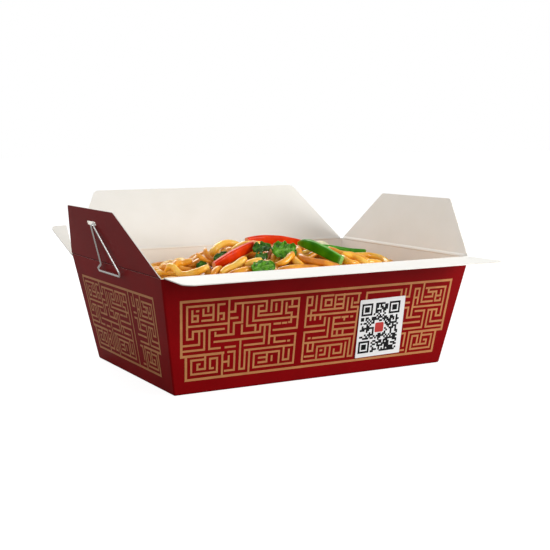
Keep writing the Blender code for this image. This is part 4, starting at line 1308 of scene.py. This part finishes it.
# Leaves
# Wilted green herb leaves with lobed, curled edges and sunken veins, wet from the sauce.
LEAF_THICK = 0.00035
LEAF_COLUMNS = 48
LEAF_ROWS = 24
LEAF_LOOKS = {
    "leaf_dark": {"lobes": 5, "curl": 0.0010, "shade": "dark"},
    "leaf_bright": {"lobes": 7, "curl": 0.0016, "shade": "bright"},
    "leaf_front": {"lobes": 4, "curl": 0.0010, "shade": "bright"},
    "leaf_left": {"lobes": 4, "curl": 0.0009, "shade": "dark"},
    "leaf_small": {"lobes": 3, "curl": 0.0008, "shade": "dark"},
    "leaf_middle": {"lobes": 4, "curl": 0.0009, "shade": "dark"},
}


def leaf_finish(name, deep, main, vein):
    material, tree, shader = new_finish(name, 0.36, 0.15, coat=0.18, coat_roughness=0.06)
    shader.inputs["Subsurface Weight"].default_value = 0.08
    shader.inputs["Subsurface Radius"].default_value = (0.5, 1.0, 0.2)
    shader.inputs["Subsurface Scale"].default_value = 0.001
    line = add_node(tree, "ShaderNodeAttribute", attribute_name="vein")
    blade = colour_between(tree, object_noise(tree, 380, 4.0), ((0.32, deep), (0.62, main)))
    mix = add_node(tree, "ShaderNodeMix", data_type="RGBA", links={0: line.outputs["Fac"]})
    tree.links.new(blade, mix.inputs[6])
    mix.inputs[7].default_value = (*vein, 1.0)
    tree.links.new(mix.outputs[2], shader.inputs["Base Color"])
    add_bump(tree, shader, object_noise(tree, 620, 3.0), 0.00055)
    return material


LEAF_FINISHES = {
    "dark": leaf_finish("dark_herb_leaf", (0.012, 0.060, 0.001), (0.050, 0.20, 0.004),
                        (0.22, 0.42, 0.06)),
    "bright": leaf_finish("bright_herb_leaf", (0.020, 0.10, 0.001), (0.095, 0.33, 0.006),
                          (0.34, 0.60, 0.12)),
}


def leaf_mesh(name, leaf, looks):
    """Blade with a ragged outline, a rib, side veins sunk a little, and noise that curls it."""
    bm = bmesh.new()
    vein = bm.verts.layers.float.new("vein")
    seed = Vector((leaf[0][0], leaf[0][1], 0)) * 900
    grid = []
    for j in range(LEAF_ROWS + 1):
        v = 2 * j / LEAF_ROWS - 1
        row = []
        for i in range(LEAF_COLUMNS + 1):
            u = 2 * i / LEAF_COLUMNS - 1
            ragged = noise.noise(Vector((u * looks["lobes"] * 0.9, 2.0 if v > 0 else -2.0, 0)) + seed)
            lobe = min(1.0, max(0.72, 0.90 + 0.30 * ragged))
            outline = (math.sqrt(max(1 - abs(u) ** 2.2, 0.0)) * 0.88 + 0.10) * lobe
            side = abs(v) * math.pi * 2.0
            rib = 0.45 * math.exp(-(v / 0.07) ** 2)
            branch = math.sin((u * looks["lobes"] - abs(v) * 1.4) * math.pi)
            rib = max(rib, 0.30 * math.exp(-(branch / 0.22) ** 2) * (1 - abs(v) ** 3))
            curl = looks["curl"] * 1.3 * noise.noise(Vector((u * 2.6, v * 2.6, 0)) + seed) * (0.5 + abs(v))
            curl += looks["curl"] * 0.5 * noise.noise(Vector((u * 7, v * 7, 3)) + seed)
            curl += looks["curl"] * 0.45 * math.sin(u * looks["lobes"] * 2.2 + side) * abs(v) ** 1.5
            curl -= 0.00022 * rib
            vert = bm.verts.new(leaf_spot(leaf, u, v * outline, curl - 0.0006 * u * u))
            vert[vein] = rib
            row.append(vert)
        grid.append(row)
    for j in range(LEAF_ROWS):
        for i in range(LEAF_COLUMNS):
            face = bm.faces.new((grid[j][i], grid[j][i + 1], grid[j + 1][i + 1], grid[j + 1][i]))
            face.smooth = True
    item = object_from("herb_" + name, bm, LEAF_FINISHES[looks["shade"]])
    blade = item.modifiers.new("blade", "SOLIDIFY")
    blade.thickness = LEAF_THICK
    blade.offset = 0.0
    return plain_mesh(item)


for name, looks in LEAF_LOOKS.items():
    piece = leaf_mesh(name, LEAVES[name], looks)
    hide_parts(name)
    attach(piece, "root")


# Studio
# A pale floor and a pale surround. Both look white to the camera and light the box less, which
# keeps its red deep. A soft main light stands low on the right, a small one on the left glints
# on the wire, and a large one is behind. The camera stands as the photograph's did.
FLOOR_SIZE = 6.0
FLOOR_PALE = (0.24, 0.24, 0.24)
FLOOR_PALER = (0.26, 0.26, 0.26)
FLOOR_GLOW = 0.90
FLOOR_BOUNCE = (0.30, 0.29, 0.28)
SURROUND = 0.50
CAMERA_PLACE = (-0.30813, -0.56773, 0.13557)
CAMERA_YAW = 0.505189
CAMERA_PITCH = 0.128466
CAMERA_ROLL = -0.003328
CAMERA_LENS = 70.79

floor_finish, floor_tree, floor_shader = new_finish("pale_studio_floor", 0.9, 0.1)
floor_tree.links.new(
    colour_between(floor_tree, object_noise(floor_tree, 3, 2.0), ((0.3, FLOOR_PALE), (0.7, FLOOR_PALER))),
    floor_shader.inputs["Base Color"])
floor_shader.inputs["Emission Color"].default_value = (1, 1, 1, 1)
floor_shader.inputs["Emission Strength"].default_value = FLOOR_GLOW
dim_floor = add_node(floor_tree, "ShaderNodeBsdfDiffuse", {"Color": (*FLOOR_BOUNCE, 1.0)})
floor_seen = add_node(floor_tree, "ShaderNodeLightPath")
floor_mix = add_node(floor_tree, "ShaderNodeMixShader",
                     links={0: floor_seen.outputs["Is Camera Ray"], 1: dim_floor.outputs["BSDF"],
                            2: floor_shader.outputs["BSDF"]})
floor_tree.links.new(floor_mix.outputs["Shader"], floor_tree.nodes["Material Output"].inputs["Surface"])
floor_sheet = bmesh.new()
bmesh.ops.create_grid(floor_sheet, x_segments=8, y_segments=8, size=FLOOR_SIZE)
floor = object_from("studio_floor", floor_sheet, floor_finish)

world = bpy.data.worlds.new("white_surround")
bpy.context.scene.world = world
world.use_nodes = True
sky_tree = world.node_tree
sky = sky_tree.nodes["Background"]
sky.inputs["Color"].default_value = (1, 1, 1, 1)
sky.inputs["Strength"].default_value = SURROUND
seen = add_node(sky_tree, "ShaderNodeBackground", {"Color": (1, 1, 1, 1), "Strength": 1.0})
path_kind = add_node(sky_tree, "ShaderNodeLightPath")
either = add_node(sky_tree, "ShaderNodeMixShader", links={0: path_kind.outputs["Is Camera Ray"],
                                                          1: sky.outputs["Background"],
                                                          2: seen.outputs["Background"]})
sky_tree.links.new(either.outputs["Shader"], sky_tree.nodes["World Output"].inputs["Surface"])


def area_light(name, place, aim, size, power, colour):
    lamp = bpy.data.lights.new(name, "AREA")
    lamp.shape = "RECTANGLE"
    lamp.size = size[0]
    lamp.size_y = size[1]
    lamp.energy = power
    lamp.color = colour
    item = bpy.data.objects.new(name, lamp)
    bpy.context.scene.collection.objects.link(item)
    item.location = place
    item.rotation_euler = (Vector(aim) - Vector(place)).to_track_quat("-Z", "Y").to_euler()


area_light("key_light", (0.46, -0.52, 0.20), (0, 0, 0.05), (0.40, 0.34), 4.1, (1.0, 0.99, 0.97))
area_light("left_glint", (-0.70, -0.40, 0.30), (-0.1, 0, 0.08), (0.25, 0.08), 0.45, (1.0, 1.0, 1.0))
area_light("back_light", (0.1, 0.9, 0.9), (0, 0, 0.05), (0.9, 0.5), 9.5, (1.0, 1.0, 1.0))

camera_data = bpy.data.cameras.new("camera")
camera_data.lens = CAMERA_LENS
camera_data.sensor_width = 36
camera = bpy.data.objects.new("camera", camera_data)
bpy.context.scene.collection.objects.link(camera)
ahead = Vector((math.sin(CAMERA_YAW) * math.cos(CAMERA_PITCH),
                math.cos(CAMERA_YAW) * math.cos(CAMERA_PITCH),
                -math.sin(CAMERA_PITCH)))
level_right = Vector((math.cos(CAMERA_YAW), -math.sin(CAMERA_YAW), 0))
level_up = level_right.cross(ahead)
right = level_right * math.cos(CAMERA_ROLL) + level_up * math.sin(CAMERA_ROLL)
up = level_up * math.cos(CAMERA_ROLL) - level_right * math.sin(CAMERA_ROLL)
stand = Matrix((right, up, -ahead)).transposed().to_4x4()
stand.translation = CAMERA_PLACE
camera.matrix_world = stand
bpy.context.scene.camera = camera
bpy.context.scene.view_settings.view_transform = "Standard"
